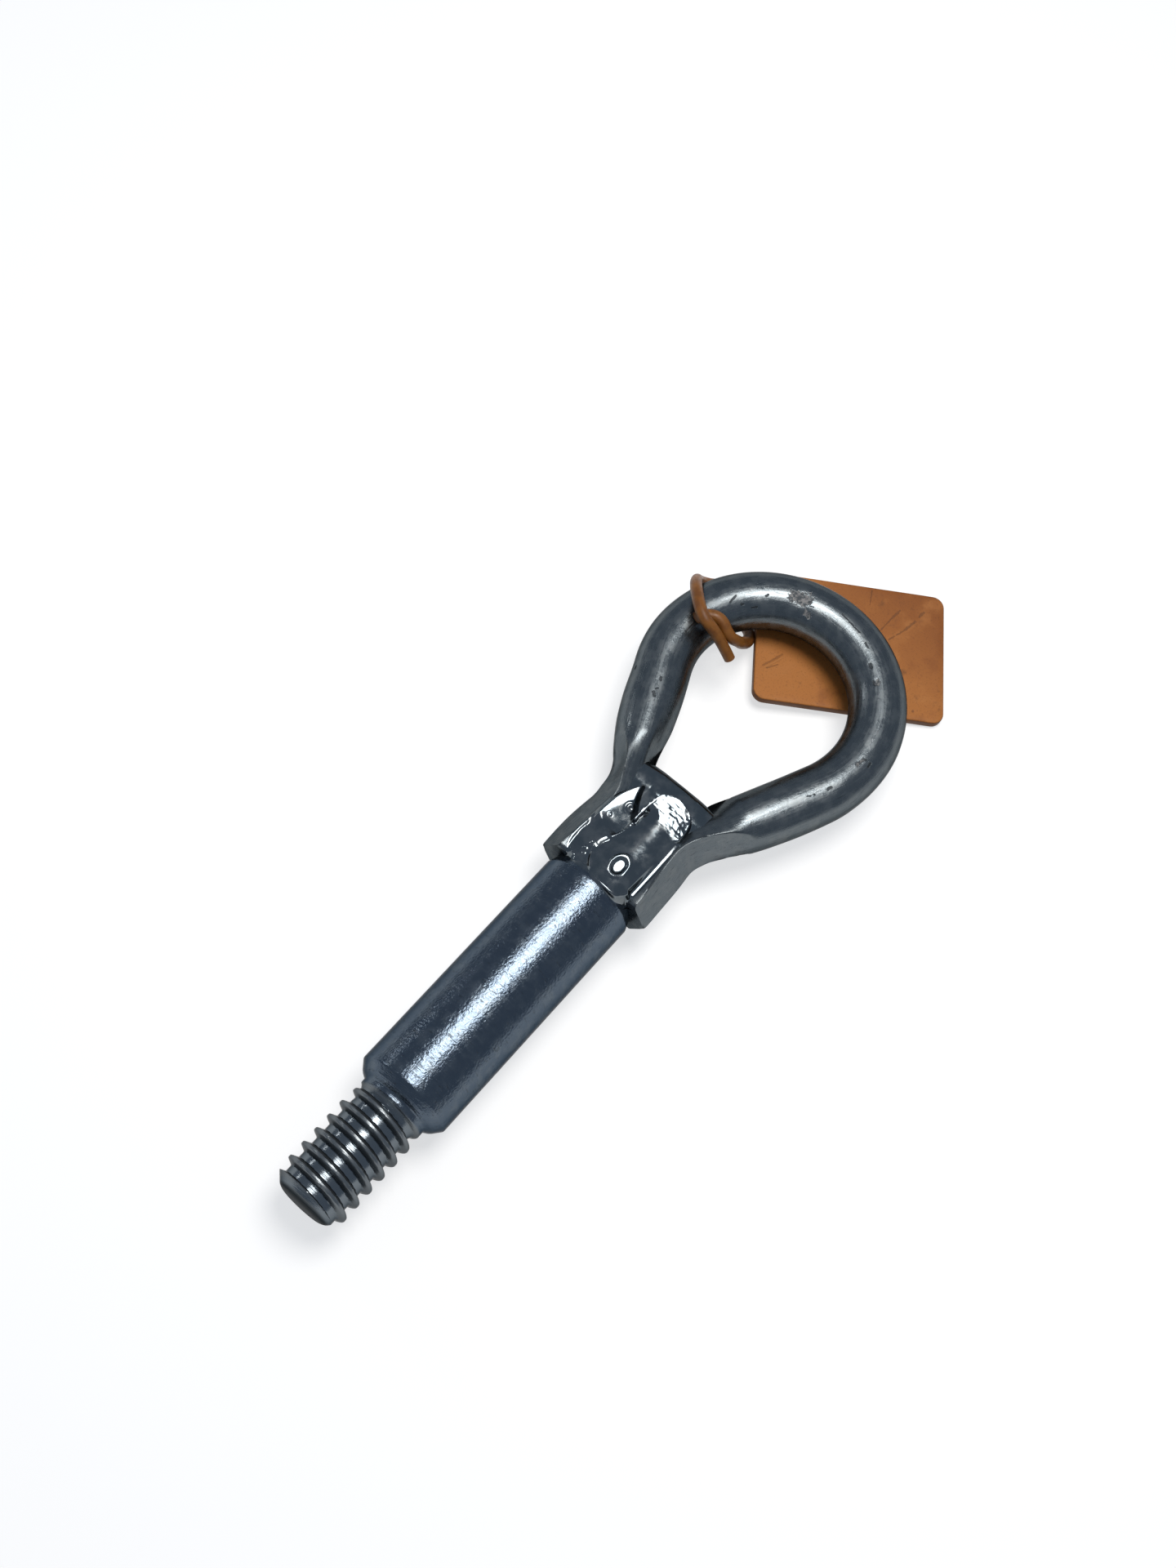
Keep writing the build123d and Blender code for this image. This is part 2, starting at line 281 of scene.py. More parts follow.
class Canvas:
    """Short ways to place and join shader nodes in one tree."""

    def __init__(self, tree: bpy.types.NodeTree) -> None:
        """Keep the tree that the nodes go into."""
        self.tree = tree

    def add(self, kind: str, settings: Optional[dict] = None, **inputs: object) -> bpy.types.Node:
        """Place a node.

        Args:
            kind: Node type without its leading words.
            settings: Properties of the node itself.
            **inputs: Values or output sockets by input name, with _ for a space.

        Returns:
            The new node.
        """
        node = self.tree.nodes.new("ShaderNode" + kind)
        for key, value in (settings or {}).items():
            setattr(node, key, value)
        for key, value in inputs.items():
            self.feed(node.inputs[key.replace("_", " ")], value)
        return node

    def feed(self, socket: bpy.types.NodeSocket, value: object) -> None:
        """Set an input socket to a value, or link an output socket to it.

        Args:
            socket: Input socket.
            value: Value, or output socket.
        """
        if isinstance(value, bpy.types.NodeSocket):
            self.tree.links.new(value, socket)
        else:
            socket.default_value = value

    def math(self, operation: str, *values: object, clamp: bool = False) -> bpy.types.NodeSocket:
        """Output of a Math node on one to three values or sockets.

        Args:
            operation: Name of the operation.
            *values: Numbers or sockets.
            clamp: Whether the result stays from 0 to 1.

        Returns:
            Output socket.
        """
        node = self.add("Math", {"operation": operation, "use_clamp": clamp})
        for socket, value in zip(node.inputs, values):
            self.feed(socket, value)
        return node.outputs[0]

    def vector(self, operation: str, *values: object, output: str = "Vector") -> bpy.types.NodeSocket:
        """Output of a Vector Math node on vectors or their sockets.

        Args:
            operation: Name of the operation.
            *values: Vectors or sockets.
            output: Name of the wanted output.

        Returns:
            Output socket.
        """
        node = self.add("VectorMath", {"operation": operation})
        for socket, value in zip(node.inputs, values):
            self.feed(socket, value)
        return node.outputs[output]

    def scale(self, vector: bpy.types.NodeSocket, by: bpy.types.NodeSocket) -> bpy.types.NodeSocket:
        """Vector times a number from another socket."""
        return self.add("VectorMath", {"operation": "SCALE"}, Vector=vector, Scale=by).outputs["Vector"]

    def noise(self, place: object, scale: object, detail: float = 2.0) -> bpy.types.NodeSocket:
        """Grey noise at a place, with its scale per metre."""
        node = self.add("TexNoise", Vector=place, Scale=scale, Detail=detail, Roughness=0.55)
        return node.outputs[0]

    def span(self, value: object, low: object, high: object, to: tuple = (0.0, 1.0)) -> bpy.types.NodeSocket:
        """Smooth map of a value from a low and high bound to another range.

        Args:
            value: Number or socket.
            low: Bound that gives the range's first end.
            high: Bound that gives its second end.
            to: The range.

        Returns:
            Output socket.
        """
        node = self.add("MapRange", {"interpolation_type": "SMOOTHSTEP"})
        for socket, entry in zip(node.inputs, (value, low, high, *to)):
            self.feed(socket, entry)
        return node.outputs[0]

    def between(self, share: object, first: object, second: object) -> bpy.types.NodeSocket:
        """Mix of two numbers, each a number or a socket."""
        return self.math("MULTIPLY_ADD", share, self.math("SUBTRACT", second, first), first)

    def blend(self, share: object, first: object, second: object) -> bpy.types.NodeSocket:
        """Mix of two colours, each a colour or a socket.

        Args:
            share: Share of the second colour.
            first: Colour or socket.
            second: Colour or socket.

        Returns:
            Colour socket.
        """
        node = self.add("Mix", {"data_type": "RGBA"})
        entries = {"Factor_Float": share, "A_Color": first, "B_Color": second}
        for socket in node.inputs:
            if socket.identifier in entries:
                value = entries[socket.identifier]
                self.feed(socket, (*value, 1.0) if isinstance(value, tuple) and len(value) == 3 else value)
        return next(s for s in node.outputs if s.identifier == "Result_Color")


class Effects:
    """Shader node groups that more than one finish uses."""

    GRAIN = "surface_grain"
    MARK = "surface_mark"
    RAGGED_SCALE = 1500.0
    SHARP_SHARE = 0.6

    @staticmethod
    def group(name: str, inputs: Sequence[tuple[str, str]], outputs: Sequence[str]) -> Canvas:
        """Empty group with named sockets.

        Args:
            name: Name of the group.
            inputs: Name and kind of each input.
            outputs: Names of the float outputs.

        Returns:
            Canvas on the new group's tree.
        """
        tree = bpy.data.node_groups.new(name, "ShaderNodeTree")
        for label, kind in inputs:
            tree.interface.new_socket(label, in_out="INPUT", socket_type="NodeSocket" + kind)
        for label in outputs:
            tree.interface.new_socket(label, in_out="OUTPUT", socket_type="NodeSocketFloat")
        return Canvas(tree)

    @classmethod
    def make_grain(cls) -> None:
        """Fine specks, soft clouds and lengthwise streaks over a surface."""
        canvas = cls.group(
            cls.GRAIN,
            [("Vector", "Vector"), ("Fine", "Float"), ("Cloud", "Float"), ("Stretch", "Vector")],
            ["Speck", "Cloud", "Streak"],
        )
        inner = canvas.tree.nodes.new("NodeGroupInput")
        outer = canvas.tree.nodes.new("NodeGroupOutput")
        place = inner.outputs["Vector"]
        canvas.feed(outer.inputs["Speck"], canvas.noise(place, inner.outputs["Fine"], 3.0))
        canvas.feed(outer.inputs["Cloud"], canvas.noise(place, inner.outputs["Cloud"], 4.0))
        drawn = canvas.vector("MULTIPLY", place, inner.outputs["Stretch"])
        canvas.feed(outer.inputs["Streak"], canvas.noise(drawn, 1.0, 3.0))

    @classmethod
    def make_mark(cls) -> None:
        """Mask of one chip, nick or scratch: near the line between two points, with a ragged edge."""
        canvas = cls.group(
            cls.MARK,
            [("Vector", "Vector"), ("Start", "Vector"), ("End", "Vector"), ("Width", "Float"), ("Ragged", "Float")],
            ["Mask"],
        )
        inner = canvas.tree.nodes.new("NodeGroupInput")
        outer = canvas.tree.nodes.new("NodeGroupOutput")
        place, start = inner.outputs["Vector"], inner.outputs["Start"]
        run = canvas.vector("SUBTRACT", inner.outputs["End"], start)
        reach = canvas.vector("SUBTRACT", place, start)
        along = canvas.vector("DOT_PRODUCT", reach, run, output="Value")
        length = canvas.vector("DOT_PRODUCT", run, run, output="Value")
        share = canvas.math("DIVIDE", along, canvas.math("ADD", length, TINY), clamp=True)
        offset = canvas.vector("SUBTRACT", reach, canvas.scale(run, share))
        gap = canvas.vector("LENGTH", offset, output="Value")
        rough = canvas.math("SUBTRACT", canvas.noise(place, cls.RAGGED_SCALE, 3.0), 0.5)
        wander = canvas.math("MULTIPLY", rough, inner.outputs["Ragged"])
        width = inner.outputs["Width"]
        wide = canvas.math("ADD", gap, canvas.math("MULTIPLY", wander, width))
        inside = canvas.span(wide, width, canvas.math("MULTIPLY", width, cls.SHARP_SHARE))
        canvas.feed(outer.inputs["Mask"], inside)

    @classmethod
    def place(cls, canvas: Canvas, name: str, **inputs: object) -> bpy.types.Node:
        """Put a group into a material with its own values.

        Args:
            canvas: Canvas of the material.
            name: Name of the group.
            **inputs: Values or sockets by input name.

        Returns:
            The group's node.
        """
        node = canvas.tree.nodes.new("ShaderNodeGroup")
        node.node_tree = bpy.data.node_groups[name]
        for key, value in inputs.items():
            canvas.feed(node.inputs[key], value)
        return node


@dataclass(frozen=True)
class Mark:
    """One chip, nick or scratch, from a start point to an end point in the part's frame."""

    start: Point
    end: Point
    width: float
    ragged: float = 1.2

    def mask(self, canvas: Canvas, place: bpy.types.NodeSocket) -> bpy.types.NodeSocket:
        """Mask of the mark in a material.

        Args:
            canvas: Canvas of the material.
            place: Object coordinates.

        Returns:
            Float socket, 1 inside the mark.
        """
        node = Effects.place(
            canvas,
            Effects.MARK,
            Vector=place,
            Start=tuple(v * MM for v in self.start),
            End=tuple(v * MM for v in self.end),
            Width=self.width * MM,
            Ragged=self.ragged,
        )
        return node.outputs["Mask"]


def gathered(
    canvas: Canvas, place: bpy.types.NodeSocket, marks: Sequence[Mark]
) -> Optional[bpy.types.NodeSocket]:
    """One mask of several marks, or None where there are none.

    Args:
        canvas: Canvas of the material.
        place: Object coordinates.
        marks: Marks to gather.

    Returns:
        Mask socket, or None.
    """
    total = None
    for mark in marks:
        mask = mark.mask(canvas, place)
        total = mask if total is None else canvas.math("MAXIMUM", total, mask)
    return total


def new_material(name: str) -> tuple[bpy.types.Material, Canvas, bpy.types.Node, bpy.types.NodeSocket]:
    """Start a material.

    Args:
        name: Name of the material.

    Returns:
        The material, a canvas on its tree, its Principled shader and its Object coordinates.
    """
    material = bpy.data.materials.new(name)
    material.use_nodes = True
    canvas = Canvas(material.node_tree)
    shader = material.node_tree.nodes["Principled BSDF"]
    place = canvas.add("TexCoord").outputs["Object"]
    return material, canvas, shader, place


@dataclass
class Look:
    """Sockets of a finish on their way to its shader."""

    colour: bpy.types.NodeSocket
    rough: bpy.types.NodeSocket
    height: bpy.types.NodeSocket
    metal: object = 0.0

    def put_on(self, canvas: Canvas, shader: bpy.types.Node, depth: float) -> None:
        """Feed the shader, with the height as bumps of a depth in millimetres.

        Args:
            canvas: Canvas of the material.
            shader: Its Principled shader.
            depth: Height of the bumps in millimetres.
        """
        bump = canvas.add("Bump", Strength=1.0, Distance=depth * MM, Height=self.height)
        canvas.feed(shader.inputs["Base Color"], self.colour)
        canvas.feed(shader.inputs["Roughness"], self.rough)
        canvas.feed(shader.inputs["Metallic"], self.metal)
        canvas.feed(shader.inputs["Normal"], bump.outputs["Normal"])


@dataclass(frozen=True)
class PlatedSteel:
    """Dark zinc plating on bent steel, clouded, streaked along the bar, finely pitted and chipped, and painted dark
    as shade along the edges of the eye's pressed flats to dim their glint.
    """

    name: str
    colour: Colour = (0.124, 0.142, 0.153)
    dull: Colour = (0.166, 0.182, 0.188)
    scuffed: Colour = (0.060, 0.068, 0.074)
    bare: Colour = (0.215, 0.210, 0.206)
    pit_and_crease_shade: Colour = (0.030, 0.034, 0.038)
    edge_tint: float = 0.30
    metallic: float = 0.95
    roughness: tuple[float, float] = (0.21, 0.35)
    speck_scale: float = 1900.0
    cloud_scale: float = 420.0
    cloud_share: float = 0.7
    stretch: Point = (160.0, 2200.0, 2200.0)
    scuff_stretch: Point = (300.0, 4200.0, 4200.0)
    speck_depth: float = 0.022
    streak_depth: float = 0.8
    streak_share: float = 0.3
    scuff_share: float = 0.55
    scuff_depth: float = 0.5
    crease_shade_share: float = 0.8
    worn_roughness: float = 0.5
    nick_share: float = 0.85
    nick_depth: float = 4.0
    crumb_scale: float = 1700.0
    chip_roughness: float = 0.60
    chip_dullness: float = 0.7
    chip_depth: float = 5.0
    chips: Sequence[Mark] = ()
    nicks: Sequence[Mark] = ()

    def zoned(self, canvas: Canvas, place: bpy.types.NodeSocket, look: Look) -> Look:
        """Change of the look in zones of the piece; the plain plating has none."""
        return look

    def chipped(self, canvas: Canvas, place: bpy.types.NodeSocket, look: Look) -> Look:
        """Look with dark nicks, and with the plating broken off at the chips.

        Args:
            canvas: Canvas of the material.
            place: Object coordinates.
            look: Look of the sound plating.

        Returns:
            Look with dark pits in the nicks and rough grey steel inside the chips.
        """
        pits = gathered(canvas, place, self.nicks)
        if pits is not None:
            look = Look(
                colour=canvas.blend(canvas.math("MULTIPLY", pits, self.nick_share), look.colour, self.pit_and_crease_shade),
                rough=canvas.math("MAXIMUM", look.rough, canvas.math("MULTIPLY", pits, self.worn_roughness)),
                height=canvas.math("MULTIPLY_ADD", pits, -self.nick_depth, look.height),
                metal=look.metal,
            )
        mask = gathered(canvas, place, self.chips)
        if mask is None:
            return look
        crumb = canvas.noise(place, self.crumb_scale, 5.0)
        steel = canvas.blend(canvas.span(crumb, 0.42, 0.60), self.scuffed, self.bare)
        still_metal = canvas.math("SUBTRACT", 1.0, canvas.math("MULTIPLY", mask, self.chip_dullness))
        return Look(
            colour=canvas.blend(mask, look.colour, steel),
            rough=canvas.math("MAXIMUM", look.rough, canvas.math("MULTIPLY", mask, self.chip_roughness)),
            height=canvas.math("MULTIPLY_ADD", canvas.math("MULTIPLY", mask, crumb), -self.chip_depth, look.height),
            metal=canvas.math("MULTIPLY", still_metal, look.metal),
        )

    def material(self) -> bpy.types.Material:
        """Material with its clouds, specks, streaks, scuffs and chips, and painted shade along the pressed flats'
        edges.

        Returns:
            The material.
        """
        material, canvas, shader, place = new_material(self.name)
        drawn = canvas.add("Attribute", {"attribute_name": "bar_place"}).outputs["Vector"]
        grain = Effects.place(
            canvas, Effects.GRAIN, Vector=drawn, Fine=self.speck_scale, Cloud=self.cloud_scale, Stretch=self.stretch
        )
        speck, cloud, streak = (grain.outputs[k] for k in ("Speck", "Cloud", "Streak"))
        scuff = canvas.noise(canvas.vector("MULTIPLY", drawn, self.scuff_stretch), 1.0, 2.0)
        scuffs = canvas.span(scuff, 0.62, 0.72, (0.0, self.scuff_share))
        colour = canvas.blend(canvas.span(cloud, 0.42, 0.66, (0.0, self.cloud_share)), self.colour, self.dull)
        colour = canvas.blend(canvas.span(streak, 0.52, 0.74, (0.0, self.streak_share)), colour, self.dull)
        colour = canvas.blend(scuffs, colour, self.scuffed)
        mottle = canvas.math("ADD", canvas.math("MULTIPLY", cloud, 0.5), canvas.math("MULTIPLY", streak, 0.5))
        rough = canvas.span(mottle, 0.36, 0.64, self.roughness)
        # Painted shade: the colour darkens along the edges of the pressed flats, where the eye stores its crease
        # mask, and dims their glint.
        crease = canvas.add("Attribute", {"attribute_name": "crease"}).outputs["Fac"]
        colour = canvas.blend(canvas.math("MULTIPLY", crease, self.crease_shade_share), colour, self.pit_and_crease_shade)
        rough = canvas.math("MAXIMUM", rough, canvas.math("MULTIPLY", crease, self.worn_roughness))
        height = canvas.math("MULTIPLY_ADD", streak, self.streak_depth, speck)
        height = canvas.math("SUBTRACT", height, canvas.math("MULTIPLY", scuffs, self.scuff_depth))
        look = self.zoned(canvas, place, Look(colour, rough, height, self.metallic))
        self.chipped(canvas, place, look).put_on(canvas, shader, self.speck_depth)
        shader.inputs["Specular Tint"].default_value = (self.edge_tint, self.edge_tint, self.edge_tint, 1.0)
        return material


@dataclass(frozen=True)
class TurnedSteel(PlatedSteel):
    """The same plating on the turned shank: smooth in the thread's grooves, duller on its ridges. Its thread is
    painted lighter as light bounced into the grooves, lighter still on the ridges as painted shade in the grooves,
    and its tip is painted dark as shade.
    """

    colour: Colour = (0.090, 0.115, 0.146)
    dull: Colour = (0.130, 0.155, 0.180)
    cloud_share: float = 0.6
    metallic: float = 0.97
    roughness: tuple[float, float] = (0.14, 0.27)
    speck_scale: float = 1750.0
    speck_depth: float = 0.08
    streak_depth: float = 0.3
    stretch: Point = (2600.0, 320.0, 320.0)
    scuff_stretch: Point = (2400.0, 520.0, 520.0)
    groove: Colour = (0.150, 0.172, 0.190)
    ridge: Colour = (0.162, 0.178, 0.188)
    ridge_metal: float = 0.86
    thread_roughness: float = 0.17
    thread_x: tuple[float, float] = (-3.4, -4.2)
    ridge_r: tuple[float, float] = (6.5, 7.1)
    shoulder_x: tuple[float, float] = (0.1, -0.2)
    shoulder_roughness: float = 0.21
    tip_x: tuple[float, float] = (-27.4, -28.1)
    tip_shade_colour: Colour = (0.055, 0.062, 0.066)
    tip_roughness: float = 0.36
    ridge_wear: float = 0.6
    groove_calm: float = 0.8
    turning: Point = (5200.0, 90.0, 90.0)
    turning_depth: float = 0.5

    def zoned(self, canvas: Canvas, place: bpy.types.NodeSocket, look: Look) -> Look:
        """Turned shoulder, thread with its ridges, and the dull tip, with painted light on the thread and painted
        shade on the tip.

        Args:
            canvas: Canvas of the material.
            place: Object coordinates.
            look: Look of the plain shank.

        Returns:
            Look of the whole shank.
        """
        axes = canvas.add("SeparateXYZ", Vector=place).outputs
        along = axes["X"]
        square = canvas.math("MULTIPLY_ADD", axes["Y"], axes["Y"], canvas.math("MULTIPLY", axes["Z"], axes["Z"]))
        radius = canvas.math("SQRT", square)

        def zone(span: tuple[float, float], value: object) -> bpy.types.NodeSocket:
            """Mask that grows from the first bound to the second, in millimetres."""
            return canvas.span(value, span[0] * MM, span[1] * MM)

        thread, shoulder, tip = zone(self.thread_x, along), zone(self.shoulder_x, along), zone(self.tip_x, along)
        ridge = canvas.math("MULTIPLY", thread, zone(self.ridge_r, radius))
        turned = canvas.noise(canvas.vector("MULTIPLY", place, self.turning), 1.0, 2.0)
        # Painted light: the thread's colour is lighter than the shank's, standing in for light bounced into its
        # grooves; its ridges are a little lighter still, leaving painted shade in the grooves.
        colour = canvas.blend(thread, look.colour, self.groove)
        colour = canvas.blend(ridge, colour, self.ridge)
        # Painted shade: the tip's colour is darkened.
        colour = canvas.blend(tip, colour, self.tip_shade_colour)
        rough = canvas.between(shoulder, look.rough, self.shoulder_roughness)
        rough = canvas.between(thread, rough, self.thread_roughness)
        worn = canvas.math("MAXIMUM", canvas.math("MULTIPLY", ridge, self.ridge_wear), tip)
        rough = canvas.between(worn, rough, self.tip_roughness)
        calm = canvas.math("SUBTRACT", 1.0, canvas.math("MULTIPLY", thread, self.groove_calm))
        height = canvas.math("MULTIPLY", look.height, calm)
        height = canvas.math("MULTIPLY_ADD", canvas.math("MULTIPLY", shoulder, turned), self.turning_depth, height)
        return Look(colour, rough, height, canvas.between(ridge, look.metal, self.ridge_metal))


@dataclass(frozen=True)
class WeldMetal:
    """Bright plated weld beads, smooth as they froze, with faint grain."""

    name: str
    colour: Colour = (0.122, 0.145, 0.160)
    dull: Colour = (0.180, 0.196, 0.204)
    edge_tint: float = 0.30
    metallic: float = 0.97
    roughness: tuple[float, float] = (0.08, 0.20)
    speck_scale: float = 1500.0
    cloud_scale: float = 320.0
    stretch: Point = (300.0, 500.0, 500.0)
    speck_depth: float = 0.006

    def material(self) -> bpy.types.Material:
        """Material with soft clouds and very fine grain.

        Returns:
            The material.
        """
        material, canvas, shader, place = new_material(self.name)
        grain = Effects.place(
            canvas, Effects.GRAIN, Vector=place, Fine=self.speck_scale, Cloud=self.cloud_scale, Stretch=self.stretch
        )
        colour = canvas.blend(canvas.span(grain.outputs["Cloud"], 0.42, 0.66), self.colour, self.dull)
        rough = canvas.span(grain.outputs["Cloud"], 0.35, 0.65, self.roughness)
        Look(colour, rough, grain.outputs["Speck"], self.metallic).put_on(canvas, shader, self.speck_depth)
        shader.inputs["Specular Tint"].default_value = (self.edge_tint, self.edge_tint, self.edge_tint, 1.0)
        return material


@dataclass(frozen=True)
class TagPlastic:
    """Dull orange plastic sheet, handled, with broken scratches and a crease, painted darker towards its far end
    and on its edges as shade, its crease painted with the fold's shade and highlight.
    """

    name: str
    up: Point
    colour: Colour = (0.435, 0.160, 0.036)
    deep: Colour = (0.250, 0.079, 0.017)
    worn: Colour = (0.465, 0.188, 0.056)
    grime_and_shade: Colour = (0.085, 0.036, 0.018)
    roughness: tuple[float, float] = (0.50, 0.66)
    shaded_x: tuple[float, float] = (131.0, 165.0)
    shine: float = 0.25
    speck_scale: float = 2600.0
    cloud_scale: float = 130.0
    stretch: Point = (500.0, 160.0, 500.0)
    worn_share: float = 0.5
    deep_share: float = 0.6
    speck_share: float = 0.28
    dirt_scale: float = 300.0
    dirt_share: float = 0.5
    edge_shade: float = 0.72
    tooth: float = 0.9
    tooth_depth: float = 0.014
    scratches: Sequence[Mark] = ()
    creases: Sequence[Mark] = ()
    raised: Sequence[Mark] = ()

    def material(self) -> bpy.types.Material:
        """Material with clouding, dirt, scratches, fine tooth, and painted shade and highlight.

        Returns:
            The material.
        """
        material, canvas, shader, place = new_material(self.name)
        grain = Effects.place(
            canvas, Effects.GRAIN, Vector=place, Fine=self.speck_scale, Cloud=self.cloud_scale, Stretch=self.stretch
        )
        along = canvas.add("SeparateXYZ", Vector=place).outputs["X"]
        # Painted shade: darker towards the far end of the tag.
        far = canvas.span(along, self.shaded_x[0] * MM, self.shaded_x[1] * MM)
        colour = canvas.blend(far, self.colour, self.deep)
        speck, cloud = grain.outputs["Speck"], grain.outputs["Cloud"]
        colour = canvas.blend(canvas.span(cloud, 0.48, 0.72, (0.0, self.worn_share)), colour, self.worn)
        colour = canvas.blend(canvas.span(cloud, 0.46, 0.28, (0.0, self.deep_share)), colour, self.deep)
        colour = canvas.blend(canvas.span(speck, 0.52, 0.72, (0.0, self.speck_share)), colour, self.grime_and_shade)
        dirt = canvas.span(canvas.noise(place, self.dirt_scale, 6.0), 0.60, 0.76, (0.0, self.dirt_share))
        colour = canvas.blend(dirt, colour, self.grime_and_shade)
        # Painted shade: the edges, which do not face up, are darkened.
        facing = canvas.vector("DOT_PRODUCT", canvas.add("NewGeometry").outputs["Normal"], self.up, output="Value")
        colour = canvas.blend(canvas.span(facing, 0.86, 0.35, (0.0, self.edge_shade)), colour, self.grime_and_shade)
        height = canvas.math("MULTIPLY", speck, self.tooth)
        # Scratches are darkened; the crease is painted dark as its fold's shade, and its raised edge painted
        # lighter as a highlight.
        damage = (
            (self.scratches, 0.48, self.grime_and_shade, -2.0),
            (self.creases, 0.40, self.grime_and_shade, -5.0),
            (self.raised, 0.60, self.worn, 6.0),
        )
        for marks, share, tint, rise in damage:
            mask = gathered(canvas, place, marks)
            if mask is not None:
                colour = canvas.blend(canvas.math("MULTIPLY", mask, share), colour, tint)
                height = canvas.math("MULTIPLY_ADD", mask, rise, height)
        rough = canvas.span(cloud, 0.35, 0.65, self.roughness)
        Look(colour, rough, height).put_on(canvas, shader, self.tooth_depth)
        shader.inputs["Specular IOR Level"].default_value = self.shine
        return material


@dataclass(frozen=True)
class TiePlastic:
    """Waxy ochre plastic strand, paler where it is bent hard and where it was cut."""

    name: str
    colour: Colour = (0.218, 0.081, 0.013)
    deep: Colour = (0.152, 0.053, 0.009)
    pale: Colour = (0.330, 0.165, 0.095)
    roughness: tuple[float, float] = (0.36, 0.52)
    shine: float = 0.35
    speck_scale: float = 1800.0
    cloud_scale: float = 360.0
    stretch: Point = (700.0, 700.0, 700.0)
    see_through: float = 0.2
    see_radius: Point = (1.0, 0.4, 0.15)
    see_depth: float = 0.8
    bump_depth: float = 0.02
    pale_share: float = 0.6
    pale_spots: Sequence[Mark] = ()

    def material(self) -> bpy.types.Material:
        """Material with soft clouds and pale strained places.

        Returns:
            The material.
        """
        material, canvas, shader, place = new_material(self.name)
        grain = Effects.place(
            canvas, Effects.GRAIN, Vector=place, Fine=self.speck_scale, Cloud=self.cloud_scale, Stretch=self.stretch
        )
        colour = canvas.blend(canvas.span(grain.outputs["Cloud"], 0.38, 0.66), self.colour, self.deep)
        strained = gathered(canvas, place, self.pale_spots)
        if strained is not None:
            colour = canvas.blend(canvas.math("MULTIPLY", strained, self.pale_share), colour, self.pale)
        rough = canvas.span(grain.outputs["Speck"], 0.35, 0.65, self.roughness)
        Look(colour, rough, grain.outputs["Speck"]).put_on(canvas, shader, self.bump_depth)
        shader.inputs["Specular IOR Level"].default_value = self.shine
        shader.inputs["Subsurface Weight"].default_value = self.see_through
        shader.inputs["Subsurface Radius"].default_value = self.see_radius
        shader.inputs["Subsurface Scale"].default_value = self.see_depth * MM
        return material


